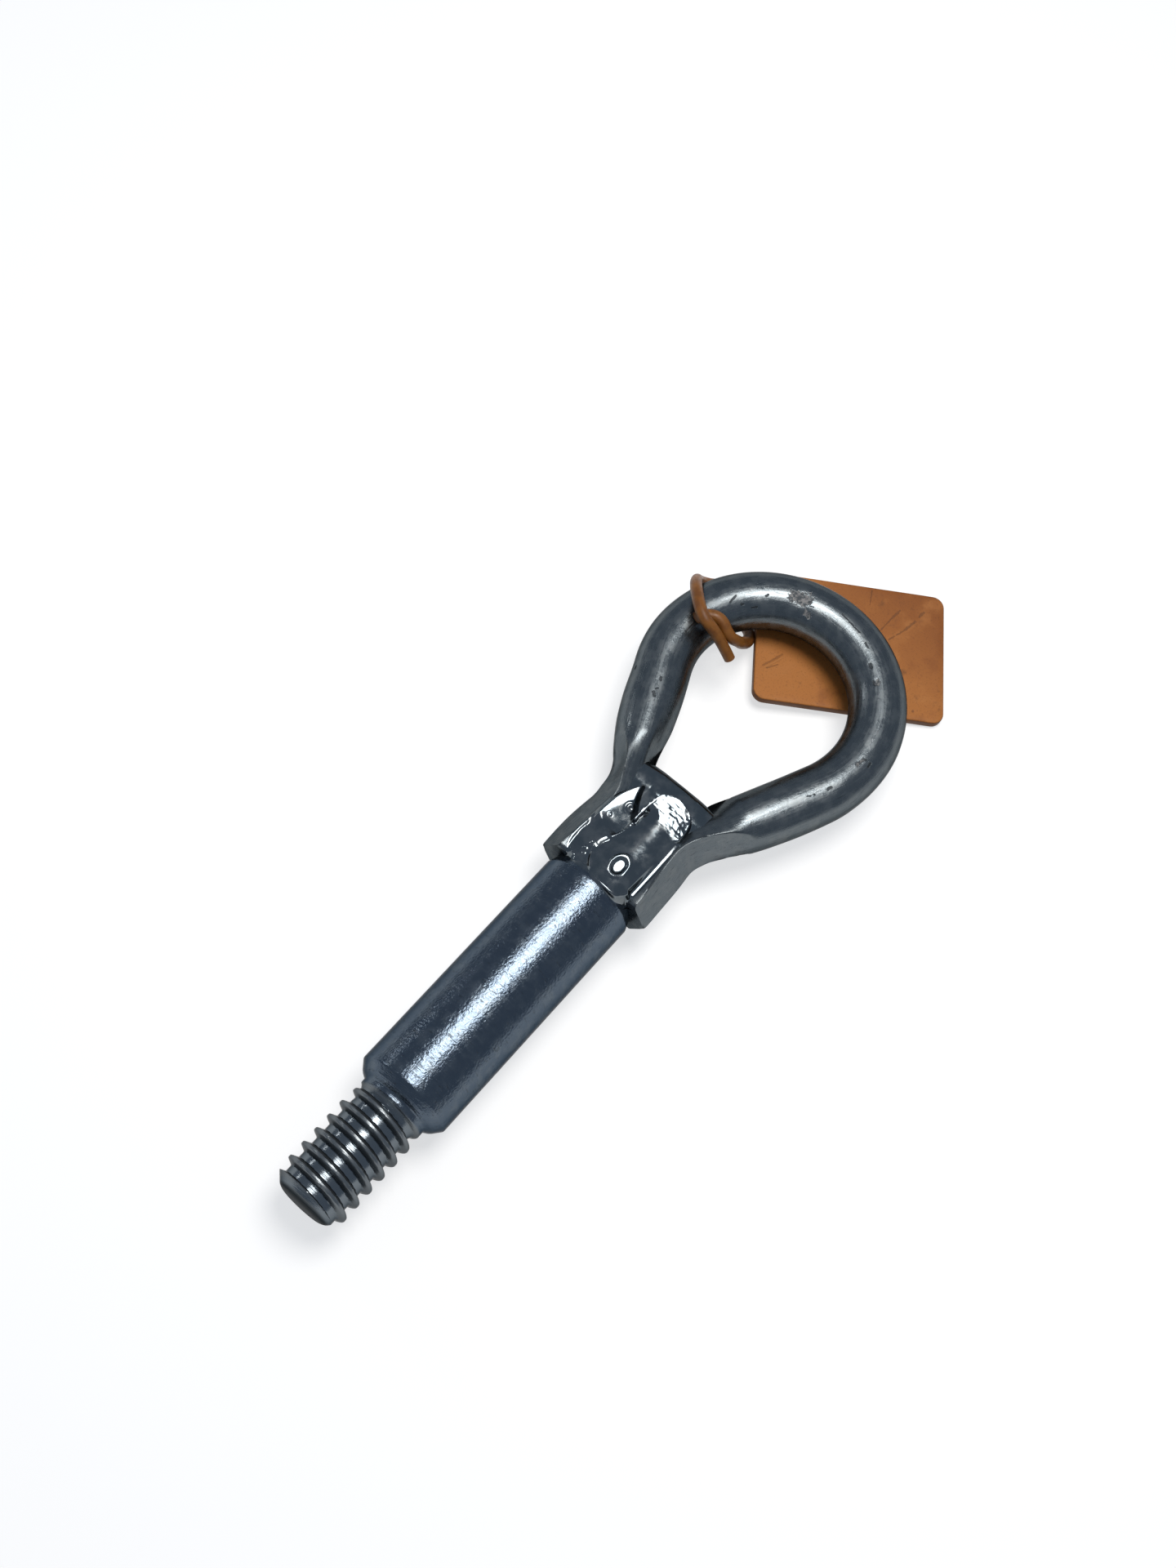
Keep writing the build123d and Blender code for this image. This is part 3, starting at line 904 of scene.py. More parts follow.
@dataclass
class Shank:
    """Turned shank with a shoulder, a rolled left-hand thread and a chamfered tip."""

    radius: float = 10.5
    length: float = 56.7
    edge_break: float = 0.8
    edge_length: float = 2.2
    shoulder_start: float = 0.35
    shoulder_end: float = -3.55
    collar_radius: float = 7.6
    major_radius: float = 8.0
    first_crest_radius: float = 7.6
    pitch: float = 3.5
    depth: float = 1.45
    first_crest: float = 5.6
    crest_angle: float = 11.8
    crest_reach: float = 0.33
    flank_reach: float = 0.27
    tip: float = 28.2
    tip_radius: float = 5.6
    tip_chamfer: float = 2.5
    tip_round: float = 0.5
    tip_drop: float = 0.5
    run_in_at: float = 4.6
    run_in_length: float = 3.4
    groove_run: float = 2.2
    groove_power: float = 0.75
    shoulder_profile: Sequence[PlanPoint] = (
        (-2.85, 7.61),
        (-2.62, 7.68),
        (-2.42, 7.90),
        (-1.8, 8.86),
        (-1.66, 8.96),
        (-1.56, 9.12),
        (-0.1, 10.28),
        (0.12, 10.45),
    )
    shoulder_rings: int = 42
    plain_rings: int = 24
    edge_rings: int = 8
    ring_gap: float = 0.4
    steps: tuple[int, int] = (16, 16)
    sides: int = 160

    @property
    def edge_start(self) -> float:
        """Place where the broken far edge starts."""
        return self.length - self.edge_length

    def stations(self) -> np.ndarray:
        """Places of the rings along X, close in the thread and at the edges.

        Returns:
            One place for each ring.
        """
        spans = self.steps[0] * self.steps[1]
        shoulder = np.linspace(self.shoulder_end, self.shoulder_start, self.shoulder_rings)
        plain = np.linspace(self.shoulder_start + self.ring_gap, self.edge_start - self.ring_gap, self.plain_rings)
        edge = np.linspace(self.edge_start, self.length, self.edge_rings)
        rest = np.concatenate([shoulder, plain, edge])
        thread = np.linspace(-self.tip, self.shoulder_end, spans + 1 - len(rest), endpoint=False)
        return np.concatenate([thread, rest])

    def thread_radius(self, x: np.ndarray, turn: np.ndarray) -> np.ndarray:
        """Radius of the threaded end.

        Args:
            x: Place along the axis.
            turn: Angle from +Y through +Z in radians.

        Returns:
            Radius at each place.
        """
        phase = (-self.first_crest - x) / self.pitch - (np.degrees(turn) - self.crest_angle) / 360.0
        off = np.abs(phase - np.rint(phase))
        crest = ease((self.crest_reach - off) / self.flank_reach)
        run_in = ease((-x - self.run_in_at) / self.run_in_length)
        top = self.first_crest_radius + (self.major_radius - self.first_crest_radius) * run_in
        groove = self.depth * np.clip((self.shoulder_end - x) / self.groove_run, 0.0, 1.0) ** self.groove_power
        threaded = top - groove * (1.0 - crest)
        slope = (self.major_radius - self.tip_radius) / self.tip_chamfer
        to_tip = x + self.tip
        rounding = self.tip_drop * np.clip(1.0 - to_tip / self.tip_round, 0.0, 1.0) ** 2
        return np.minimum(threaded, self.tip_radius + slope * to_tip - rounding)

    def plain_radius(self, x: np.ndarray) -> np.ndarray:
        """Radius of the collar, the two-slope shoulder, the plain shank and its broken far edge.

        Args:
            x: Place along the axis.

        Returns:
            Radius at each place.
        """
        profile = (
            (self.shoulder_end, self.collar_radius),
            *self.shoulder_profile,
            (self.shoulder_start, self.radius),
            (self.edge_start, self.radius),
            (self.length, self.radius - self.edge_break),
        )
        places, radii = zip(*profile)
        return np.interp(x, places, radii)

    def build(self, finish: TurnedSteel) -> None:
        """Model and dress the shank.

        Args:
            finish: Finish of the whole shank.
        """
        piece = Bench.ringed_bar("shank_turned", self.steps, self.sides)
        rings, turn = Bench.ring_places(piece, self.steps[0] * self.steps[1])
        x = self.stations()[rings]
        radius = np.where(x < self.shoulder_end, self.thread_radius(x, turn), self.plain_radius(x))
        points = np.column_stack([x, radius * np.cos(turn), radius * np.sin(turn)])
        Bench.reshape(piece, points)
        Bench.keep_places(piece, points)
        Bench.settle(piece, angle=30.0)
        Bench.hand_over(piece, finish.material(), Body.TOW_EYE, Slot.PLATED, "shank")


@dataclass
class EyeRing:
    """Round bar bent to an eye, with two straight legs, pinched at the neck and chipped by use.

    A set is a place along X, its reach, its shift away from the other leg, and 1 for the left leg or -1.
    A dent is its middle, its radius and its depth.
    """

    bar_radius: float = 6.25
    pinch_half_width: float = 5.25
    lift: float = 1.4
    centre_x: float = 114.5
    radius: float = 23.4
    leg_end_x: float = 56.7
    leg_base_y: float = 7.5
    neck_y: float = 7.2
    neck_x: float = 74.0
    bend_radius: float = 12.0
    pinch_start: tuple[float, float] = (18.0, 13.0)
    pinch_run: float = 11.0
    neck_lean: float = 0.45
    leg_lean: float = 0.30
    flare_lean: float = 0.10
    lean_middle: float = 1.5
    lean_before: Point = (14.0, 13.0, 8.0)
    lean_turn: float = 1.5
    neck_square: float = 0.34
    square_run: float = 12.0
    sway: tuple[float, float] = (-0.32, -0.15)
    sway_at: tuple[float, float] = (76.0, 98.0)
    sway_run: tuple[float, float] = (10.0, 14.0)
    end_round: float = 1.0
    flat_depth: float = 1.2
    flat_lean: float = 28.4
    flat_soft: float = 0.07
    flat_start: float = 13.0
    flat_run: float = 12.0
    flat_fade: float = 0.05
    crease_half_width: float = 0.24
    crease_fade: float = 0.5
    wobble: float = 0.035
    wobble_size: float = 7.0
    wobble_seed: float = 3.1
    wobble_sink: float = 0.6
    dent_edge: float = 0.55
    set_start: float = 1.0
    set_run: float = 3.5
    outer_set: Sequence[tuple[float, float, float, int]] = (
        (67.5, 9.0, 1.15, 1),
        (79.0, 3.8, -1.4, 1),
        (94.0, 5.0, 0.35, 1),
        (68.5, 7.0, 0.75, -1),
        (83.2, 2.8, -0.5, -1),
        (96.0, 10.0, 0.62, -1),
    )
    inner_set: Sequence[tuple[float, float, float, int]] = ((87.0, 10.5, 1.05, 1),)
    steps: tuple[int, int] = (20, 20)
    sides: int = 128
    dents: Sequence[tuple[Point, float, float]] = (
        ((135.1, 8.0, 7.5), 2.2, 0.12),
        ((132.4, -12.3, 7.4), 0.7, 0.06),
        ((130.0, -15.5, 7.5), 0.8, 0.08),
        ((112.8, -24.3, 7.6), 1.0, 0.05),
    )

    def __post_init__(self) -> None:
        """Work out the runs of the half path, from the top of the eye to the leg's end."""
        ahead = self.centre_x - self.neck_x
        to_centre = math.hypot(ahead, self.neck_y)
        self.flare = math.asin(self.radius / to_centre) - math.atan2(self.neck_y, ahead)
        tangent = self.bend_radius * math.tan(self.flare / 2)
        self.bend_x = self.neck_x - tangent
        self.arc_run = self.radius * (math.pi / 2 + self.flare)
        self.flare_run = math.sqrt(to_centre**2 - self.radius**2) - tangent
        self.bend_run = self.bend_radius * self.flare
        self.leg_run = self.bend_x - self.leg_end_x
        self.bend_at = self.arc_run + self.flare_run
        self.leg_at = self.bend_at + self.bend_run

    @property
    def half_run(self) -> float:
        """Length of the centre line from the top of the eye to a leg's end."""
        return self.leg_at + self.leg_run

    def centre_line(self, run: np.ndarray) -> tuple[np.ndarray, np.ndarray, np.ndarray]:
        """Plan path of the left half.

        Args:
            run: Distance from the top of the eye along the bar.

        Returns:
            X, Y and the outward direction's angle at each distance.
        """
        full = math.pi / 2 + self.flare
        on_arc = np.minimum(run, self.arc_run) / self.radius
        on_flare = np.clip(run - self.arc_run, 0.0, self.flare_run)
        on_bend = np.clip(run - self.bend_at, 0.0, self.bend_run) / self.bend_radius
        on_leg = np.clip(run - self.leg_at, 0.0, None)
        out = np.where(run < self.arc_run, on_arc, full - on_bend)
        x_ring = self.centre_x + self.radius * np.cos(on_arc) - on_flare * math.sin(full)
        y_ring = self.radius * np.sin(on_arc) + on_flare * math.cos(full)
        x_neck = self.bend_x - self.bend_radius * np.cos(out) - on_leg
        drop = (self.neck_y - self.leg_base_y) * on_leg / self.leg_run
        y_neck = self.neck_y + self.bend_radius * (1.0 - np.sin(out)) - drop
        ringed = run < self.bend_at
        return np.where(ringed, x_ring, x_neck), np.where(ringed, y_ring, y_neck), out

    def half_width(self, run: np.ndarray, side: np.ndarray) -> np.ndarray:
        """Half width of the bar in plan, narrowed round the neck bend, sooner on the left leg.

        Args:
            run: Distance from the top of the eye along the bar.
            side: 1 on the left leg, -1 on the right one.

        Returns:
            Half width at each place.
        """
        start = np.where(side > 0, self.pinch_start[0], self.pinch_start[1])
        before = ease((run - self.bend_at + start) / self.pinch_run)
        after = 1.0 - ease((run - self.leg_at) / self.leg_run)
        pinch = np.minimum(before, after)
        return self.bar_radius + (self.pinch_half_width - self.bar_radius) * pinch

    def lean(self, run: np.ndarray) -> np.ndarray:
        """Slope of the section's top, rising to the outside along the flare and most at the neck.

        Args:
            run: Distance from the top of the eye along the bar.

        Returns:
            Slope at each place.
        """
        profile = (
            (self.arc_run - self.lean_before[0], 0.0),
            (self.arc_run, self.flare_lean),
            (self.bend_at - self.lean_before[1], self.flare_lean),
            (self.bend_at - self.lean_before[2], self.neck_lean),
            (self.leg_at, self.neck_lean),
            (self.half_run, self.leg_lean),
        )
        return np.interp(run, *zip(*profile))

    def squared(self, run: np.ndarray) -> np.ndarray:
        """Power of the section's two parts: 1 for a round bar, less where the neck is squarer."""
        return 1.0 - self.neck_square * ease((run - self.bend_at) / self.square_run + 1.0)

    def top(self, run: np.ndarray, wide: np.ndarray, side: np.ndarray, rounding: np.ndarray) -> np.ndarray:
        """Height of the section's top over the bar's centre line.

        Args:
            run: Distance from the top of the eye along the bar.
            wide: Section coordinate away from the other leg.
            side: 1 on the left leg, -1 on the right one.
            rounding: Shrinkage at the rounded leg end.

        Returns:
            Height at each place.
        """
        power = 2.0 / self.squared(run)
        share = np.clip(np.abs(wide) / self.half_width(run, side), 0.0, 1.0)
        high = (self.bar_radius - rounding) * (1.0 - share**power) ** (1.0 / power)
        high = high + self.lean(run) * (wide - self.lean_middle)
        return self.pressed(run, wide, high, side)[1]

    def over_flat(
        self, run: np.ndarray, wide: np.ndarray, high: np.ndarray, side: np.ndarray
    ) -> tuple[np.ndarray, np.ndarray]:
        """How far section places stand over the pressed flat, and how deep the flat is there.

        Args:
            run: Distance from the top of the eye along the bar.
            wide: Section coordinate away from the other leg.
            high: Section coordinate upwards.
            side: 1 on the left leg, -1 on the right one.

        Returns:
            Distance over the flat, and the flat's depth.
        """
        lean = math.radians(self.flat_lean)
        deep = self.flat_depth * ease((run - self.bend_at + self.flat_start) / self.flat_run)
        reach = np.hypot(math.cos(lean) * self.half_width(run, side), math.sin(lean) * self.bar_radius)
        return math.cos(lean) * wide + math.sin(lean) * np.abs(high) - (reach - deep), deep

    def pressed(
        self, run: np.ndarray, wide: np.ndarray, high: np.ndarray, side: np.ndarray
    ) -> tuple[np.ndarray, np.ndarray]:
        """Section with the flats that the legs were pressed to on their outer sides.

        Args:
            run: Distance from the top of the eye along the bar.
            wide: Section coordinate away from the other leg.
            high: Section coordinate upwards.
            side: 1 on the left leg, -1 on the right one.

        Returns:
            The two section coordinates with the flats.
        """
        lean = math.radians(self.flat_lean)
        over, deep = self.over_flat(run, wide, high, side)
        push = np.where(deep > 0, 0.5 * (over + np.sqrt(over**2 + self.flat_soft**2)), 0.0)
        push = push * ease(deep / self.flat_fade)
        return wide - math.cos(lean) * push, high - math.sin(lean) * push * np.tanh(high)

    def set_aside(self, x: np.ndarray, wide: np.ndarray, side: np.ndarray) -> np.ndarray:
        """Sideways shift of the section's outer and inner parts, where the bar was bent over by hammer.

        Args:
            x: Plan places along the shank.
            wide: Section coordinate away from the other leg.
            side: 1 on the left leg, -1 on the right one.

        Returns:
            Shift away from the other leg at each place.
        """
        total = np.zeros_like(x)
        for swells, part in ((self.outer_set, wide), (self.inner_set, -wide)):
            share = ease((part - self.set_start) / self.set_run)
            for place, reach, shift, leg in swells:
                total += shift * share * np.exp(-(((x - place) / reach) ** 2)) * (side == leg)
        return total

    def stations(self) -> np.ndarray:
        """Signed distances of the rings from the top of the eye, close at the two ends.

        Returns:
            One distance for each ring.
        """
        spans = self.steps[0] * self.steps[1]
        close = np.array([0.0, 0.04, 0.12, 0.26, 0.46, 0.72]) * self.end_round
        inner = self.half_run - self.end_round
        middle = np.linspace(-inner, inner, spans + 1 - 2 * len(close))
        return np.concatenate([close - self.half_run, middle, (self.half_run - close)[::-1]])

    @staticmethod
    def finish() -> PlatedSteel:
        """Plating with the eye's chips and nicks.

        Returns:
            The finish.
        """
        chips = (
            Mark((134.4, 9.4, 7.5), (135.4, 7.2, 7.5), 1.7, 2.2),
            Mark((133.6, 5.8, 6.4), (133.2, 4.8, 6.2), 0.75, 2.4),
            Mark((130.4, -15.9, 7.6), (129.9, -16.1, 7.5), 0.6, 2.2),
            Mark((113.6, -24.4, 7.6), (112.0, -24.2, 7.6), 0.45, 2.4),
        )
        nicks = (
            Mark((125.7, 19.0, 7.5), (123.8, 19.0, 7.2), 0.26, 1.4),
            Mark((130.2, 14.3, 7.2), (130.8, 14.1, 7.4), 0.28, 2.0),
            Mark((125.4, 17.0, 6.7), (125.7, 16.7, 6.6), 0.30, 2.2),
            Mark((126.6, 15.0, 6.1), (127.4, 14.3, 6.1), 0.24, 2.4),
            Mark((137.9, -0.6, 7.6), (136.9, -6.0, 7.6), 0.20, 3.0),
            Mark((135.8, -8.4, 7.6), (135.2, -9.6, 7.6), 0.24, 2.6),
            Mark((132.5, -12.1, 7.4), (132.1, -12.8, 7.4), 0.40, 2.0),
            Mark((129.8, -15.2, 7.3), (129.4, -15.9, 7.3), 0.34, 2.0),
            Mark((114.4, -26.1, 7.0), (113.4, -26.0, 7.0), 0.38, 2.0),
            Mark((114.1, -24.8, 7.5), (113.7, -24.2, 7.6), 0.30, 2.4),
            Mark((104.4, -23.2, 7.4), (103.5, -23.0, 7.3), 0.34, 2.4),
            Mark((100.7, -21.7, 7.2), (99.4, -20.8, 7.3), 0.26, 2.6),
            Mark((97.6, -19.6, 7.1), (95.6, -18.3, 7.0), 0.18, 3.0),
            Mark((99.8, 18.4, 7.6), (99.3, 18.2, 7.6), 0.36, 2.2),
            Mark((97.5, 17.3, 7.6), (97.1, 17.6, 7.6), 0.30, 2.4),
            Mark((96.1, 17.6, 7.4), (95.6, 16.8, 7.4), 0.34, 2.6),
            Mark((99.5, 24.5, 4.7), (99.1, 24.3, 4.7), 0.35, 1.8),
        )
        return PlatedSteel("plated_eye", chips=chips, nicks=nicks)

    def build(self) -> None:
        """Model and dress the eye."""
        piece = Bench.ringed_bar("eye_bent_bar", self.steps, self.sides)
        rings, turn = Bench.ring_places(piece, self.steps[0] * self.steps[1])
        station = self.stations()[rings]
        run = np.abs(station)
        x, y, out = self.centre_line(run)
        to_end = np.clip(self.half_run - run, 0.0, self.end_round)
        rounding = self.end_round - np.sqrt(self.end_round**2 - (self.end_round - to_end) ** 2)
        side = np.where(station < 0, 1.0, -1.0)
        power = self.squared(run)
        wide = (self.half_width(run, side) - rounding) * np.sign(np.cos(turn)) * np.abs(np.cos(turn)) ** power
        high = (self.bar_radius - rounding) * np.sign(np.sin(turn)) * np.abs(np.sin(turn)) ** power
        high = high + self.lean(run) * (wide - self.lean_middle) * np.tanh(self.lean_turn * high)
        over, deep = self.over_flat(run, wide, high, side)
        # Mask along the edges of the pressed flats, where the finish paints shade that dims their glint.
        crease = np.exp(-((over / self.crease_half_width) ** 2)) * ease(deep / self.crease_fade)
        wide, high = self.pressed(run, wide, high, side)
        x, y = x + wide * np.cos(out), y + wide * np.sin(out)
        y = side * (y + self.set_aside(x, wide, side))
        upper = ease((x - self.sway_at[1]) / self.sway_run[1])
        set_over = self.sway[0] + (self.sway[1] - self.sway[0]) * upper
        y = y + set_over * ease((x - self.sway_at[0]) / self.sway_run[0])
        points = np.column_stack([x, y, self.lift + high])
        outward = np.column_stack([np.cos(turn) * np.cos(out), side * np.cos(turn) * np.sin(out), np.sin(turn)])
        lift = self.wobble * (waver(points, self.wobble_size, self.wobble_seed) - self.wobble_sink)
        for spot, size, deep in self.dents:
            gap = np.linalg.norm(points - np.array(spot), axis=1)
            lift -= deep * ease((size - gap) / (self.dent_edge * size))
        Bench.reshape(piece, points + outward * lift[:, None])
        Bench.keep_places(piece, np.column_stack([station, wide, high]))
        Bench.keep_shares(piece, "crease", crease)
        Bench.settle(piece, angle=40.0)
        Bench.hand_over(piece, self.finish().material(), Body.TOW_EYE, Slot.PLATED, "eye_ring")


@dataclass
class WeldRoot:
    """Weld metal that fills the gap between the legs and rounds over at the crotch."""

    lift: float = 1.4
    half_height: float = 5.1
    fall: float = 0.10
    fall_x: float = 73.0
    dish: float = 0.045
    dish_y: tuple[float, float] = (1.0, 4.5)
    start_x: float = 57.2
    round_x: float = 79.0
    crotch_x: float = 85.3
    bulge: float = 0.5
    half_width: float = 9.0
    fullness: float = 2.4
    divisions: tuple[int, int] = (90, 60)

    def end_x(self, y: np.ndarray) -> np.ndarray:
        """Place of the crotch edge, bulged a little at the middle."""
        return self.crotch_x + self.bulge * (1.0 - (y / self.half_width) ** 2)

    def half(self, x: np.ndarray, y: np.ndarray) -> np.ndarray:
        """Half height of the weld metal at a plan place.

        Args:
            x: Plan places along the shank.
            y: Plan places across it.

        Returns:
            Half height at each place.
        """
        share = np.clip((x - self.round_x) / (self.end_x(y) - self.round_x), 0.0, 1.0)
        fallen = self.fall * np.clip(x - self.fall_x, 0.0, self.round_x - self.fall_x)
        dished = self.dish * (np.clip(np.abs(y), *self.dish_y) - self.dish_y[0]) ** 2
        return (self.half_height - fallen + dished) * (1.0 - share**self.fullness) ** (1.0 / self.fullness)

    def build(self, finish: WeldMetal) -> None:
        """Model and dress the root.

        Args:
            finish: Finish of the weld metal.
        """
        piece, shares, top = Bench.slab("weld_root_fill", self.divisions, lambda rows: rows[:, 0] > -1.0)
        y = (shares[:, 1] * 2.0 - 1.0) * self.half_width
        along = 1.0 - (1.0 - shares[:, 0]) ** 2
        x = self.start_x + along * (self.end_x(y) - self.start_x)
        half = self.half(x, y)
        z = self.lift + np.where(top, half, -half)
        Bench.reshape(piece, np.column_stack([x, y, z]))
        Bench.settle(piece, angle=60.0)
        Bench.hand_over(piece, finish.material(), Body.TOW_EYE, Slot.WELD, "weld_root")


@dataclass
class BeadBed:
    """Height of the bare metal that the beads lie on, for one face of the head."""

    face: Face
    shank: Shank
    eye: EyeRing
    root: WeldRoot

    def height(self, x: np.ndarray, y: np.ndarray) -> np.ndarray:
        """Top of shank, legs and root, with the part turned so that the face is up.

        Args:
            x: Plan places along the shank.
            y: Plan places across it.

        Returns:
            Height above the shank axis.
        """
        lift = self.eye.lift * self.face.value
        runs = np.linspace(self.eye.half_run, self.eye.arc_run, 200)
        path_x, path_y, _ = self.eye.centre_line(runs)
        wide = np.abs(y) - np.interp(x, path_x, path_y)
        to_end = np.clip(x - self.eye.leg_end_x, 0.0, self.eye.end_round)
        rounding = self.eye.end_round - np.sqrt(to_end * (2.0 * self.eye.end_round - to_end))
        on_leg = lift + self.eye.top(np.interp(x, path_x, runs), wide, np.sign(y) * self.face.value, rounding)
        on_leg = np.where(x > self.eye.leg_end_x, on_leg, NOWHERE)
        reach = np.clip(self.shank.plain_radius(x) ** 2 - y**2, 0.0, None)
        on_shank = np.where(x < self.shank.length, np.sqrt(reach), NOWHERE)
        in_root = np.where(x > self.root.start_x, lift + self.root.half(x, y), NOWHERE)
        return np.maximum(np.maximum(on_leg, on_shank), np.maximum(in_root, 0.0))


@dataclass(frozen=True)
class Crown:
    """Shape of a frozen weld pool: a spine with heights, and its slopes to the left and right."""

    x: Sequence[float]
    y: Sequence[float]
    z: Sequence[float]
    left: Sequence[float]
    right: Sequence[float]
    rounding: Sequence[float]
    left_rounding: Optional[Sequence[float]] = None
    soft: float = 0.7
    skew: float = 0.0
    skew_width: float = 4.5
    skew_at: float = 70.0
    skew_run: float = 3.0

    def height(self, x: np.ndarray, y: np.ndarray) -> np.ndarray:
        """Height of the pool at plan places.

        Args:
            x: Plan places along the shank.
            y: Plan places across it.

        Returns:
            Height at each place.
        """
        spread = np.linspace(-0.5, 0.5, 5)
        aside = np.clip(y + self.skew_width, 0.0, self.skew_width)
        x = x - self.skew * aside * ease((x - self.skew_at) / self.skew_run)

        def along(values: Sequence[float]) -> np.ndarray:
            """Values along the spine, eased over a millimetre."""
            return np.mean([np.interp(x + d, self.x, values) for d in spread], axis=0)

        off = y - along(self.y)
        to_left = 0.5 * (off + np.sqrt(off**2 + self.soft**2))
        to_right = off - to_left
        slopes = along(self.left) * to_left + along(self.right) * to_right
        rounding = along(self.rounding)
        if self.left_rounding is not None:
            rounding = np.where(off > 0, along(self.left_rounding), rounding)
        return along(self.z) + slopes - rounding * off**2


@dataclass
class WeldBead:
    """One bead: an outline in plan with the width of its toes, a crown, and what it lies on.

    A lip or ledge is a strip of the outline: its first and last X, 1 for the left edge or -1 for the right one, and
    its height or width. A rim adds how far ahead its level is taken. A drop is its middle, radius and height.
    A crater is its middle, its two radii and its depth. A ripple, or a ragged edge, is its share, size and seed.
    """

    name: str
    node: str
    bed: BeadBed
    outline: Sequence[Point]
    crown: Crown
    ripple: float
    ripple_x: tuple[float, float]
    ripple_least: float = 0.06
    ripple_stretch: PlanPoint = (1.3, 0.8)
    ripples: Sequence[Point] = ((1.0, 1.6, 7.7), (0.6, 0.8, 2.2), (0.25, 0.42, 4.9))
    crater: Optional[tuple[PlanPoint, PlanPoint, float]] = None
    crater_slope: PlanPoint = (0.07, 0.09)
    rim_slope: PlanPoint = (-0.03, 0.06)
    crater_rise: float = 0.10
    crater_ragged: Point = (0.05, 0.9, 1.3)
    crater_wall: PlanPoint = (0.48, 0.50)
    crater_fade: PlanPoint = (1.06, 0.28)
    lips: Sequence[Strip] = ()
    lip_fade: float = 0.8
    lip_inset: float = 0.38
    lip_half_width: float = 0.18
    ledges: Sequence[Strip] = ()
    ledge_rise: float = 0.22
    ledge_slope: float = 0.09
    ledge_blur: float = 0.7
    ledge_edge: float = 0.12
    rims: Sequence[tuple[float, float, int, float, float]] = ()
    rim_run: float = 2.5
    rim_stop: float = 1.5
    rim_fade: float = 0.25
    drops: Sequence[tuple[PlanPoint, float, float]] = ()
    drop_ring: PlanPoint = (0.62, 0.33)
    drop_moat: PlanPoint = (1.3, 0.2)
    moat_share: float = 0.25
    least_rise: float = 0.04
    skirt_slope: float = 1.3
    under: Optional["WeldBead"] = None
    ceiling: float = 11.3
    foot: float = 1.6
    margin: float = 0.4
    spacing: float = 0.15
    outline_steps: int = 8
    toe_blur: float = 0.2
    thinnest: float = 0.1

    def smooth_outline(self) -> np.ndarray:
        """Closed curve of places and toe widths through the outline's points.

        Returns:
            Rows of X, Y and toe width.
        """
        corners = np.array(self.outline)
        before, after, further = np.roll(corners, 1, 0), np.roll(corners, -1, 0), np.roll(corners, -2, 0)
        rows = []
        for t in np.linspace(0.0, 1.0, self.outline_steps, endpoint=False):
            curved = 2 * before - 5 * corners + 4 * after - further
            twisted = 3 * corners - before - 3 * after + further
            rows.append(0.5 * (2 * corners + (after - before) * t + curved * t**2 + twisted * t**3))
        return np.stack(rows, axis=1).reshape(-1, 3)

    def depth_inside(self, plan: np.ndarray) -> tuple[np.ndarray, np.ndarray]:
        """Distance from the outline, positive inside it, and the toe width nearby.

        Args:
            plan: Rows of plan places.

        Returns:
            Signed distance and toe width at each place.
        """
        ring = self.smooth_outline()
        nearest = np.full(len(plan), np.inf)
        inside = np.zeros(len(plan), bool)
        weight, toes = np.zeros(len(plan)), np.zeros(len(plan))
        for a, b in zip(ring, np.roll(ring, -1, 0)):
            run = b[:2] - a[:2]
            share = np.clip(((plan - a[:2]) @ run) / max(run @ run, 1e-9), 0.0, 1.0)
            gap = np.linalg.norm(plan - a[:2] - share[:, None] * run, axis=1)
            nearest = np.minimum(nearest, gap)
            near = 1.0 / (gap**2 + self.toe_blur) ** 2
            weight += near
            toes += near * a[2]
            if a[1] != b[1]:
                crosses = (plan[:, 1] < a[1]) != (plan[:, 1] < b[1])
                inside ^= crosses & (plan[:, 0] < a[0] + (plan[:, 1] - a[1]) * run[0] / run[1])
        return np.where(inside, nearest, -nearest), toes / weight

    def lip(self, plan: np.ndarray, inside: np.ndarray) -> np.ndarray:
        """Height of the low rolled rims along parts of the outline.

        Args:
            plan: Rows of plan places.
            inside: Signed depth of each place inside the outline.

        Returns:
            Added height at each place.
        """
        middle = np.mean([place[1] for place in self.outline])
        total = np.zeros(len(plan))
        for start, end, side, tall in self.lips:
            reach = ease((plan[:, 0] - start) / self.lip_fade) * ease((end - plan[:, 0]) / self.lip_fade)
            reach = reach * ((plan[:, 1] - middle) * side > 0)
            total += tall * reach * np.exp(-(((inside - self.lip_inset) / self.lip_half_width) ** 2))
        return total

    def ground(self, plan: np.ndarray) -> np.ndarray:
        """Height of what the bead lies on: bare metal, and the bead under it.

        Args:
            plan: Rows of plan places.

        Returns:
            Height at each place.
        """
        bed = self.bed.height(plan[:, 0], plan[:, 1])
        if self.under is None:
            return bed
        below, covered = self.under.skin(plan)
        return np.maximum(bed, np.where(covered > 0, below, NOWHERE))

    def along_edge(self, plan: np.ndarray, first: float, last: float, side: int) -> tuple[np.ndarray, np.ndarray]:
        """Part of the outline that a ledge or rim follows.

        Args:
            plan: Rows of plan places.
            first: Place along X where it starts.
            last: Place along X where it ends.
            side: 1 for the left edge, -1 for the right one.

        Returns:
            Y of that edge at each place, and a share that is 1 along the part and 0 away from it.
        """
        ring = self.smooth_outline()
        middle = np.mean(ring[:, 1])
        rim = ring[(ring[:, 1] - middle) * side > 0]
        rim = rim[np.argsort(rim[:, 0])]
        share = ease(plan[:, 0] - first) * ease(last - plan[:, 0])
        return np.interp(plan[:, 0], rim[:, 0], rim[:, 1]), share * ((plan[:, 1] - middle) * side > 0)

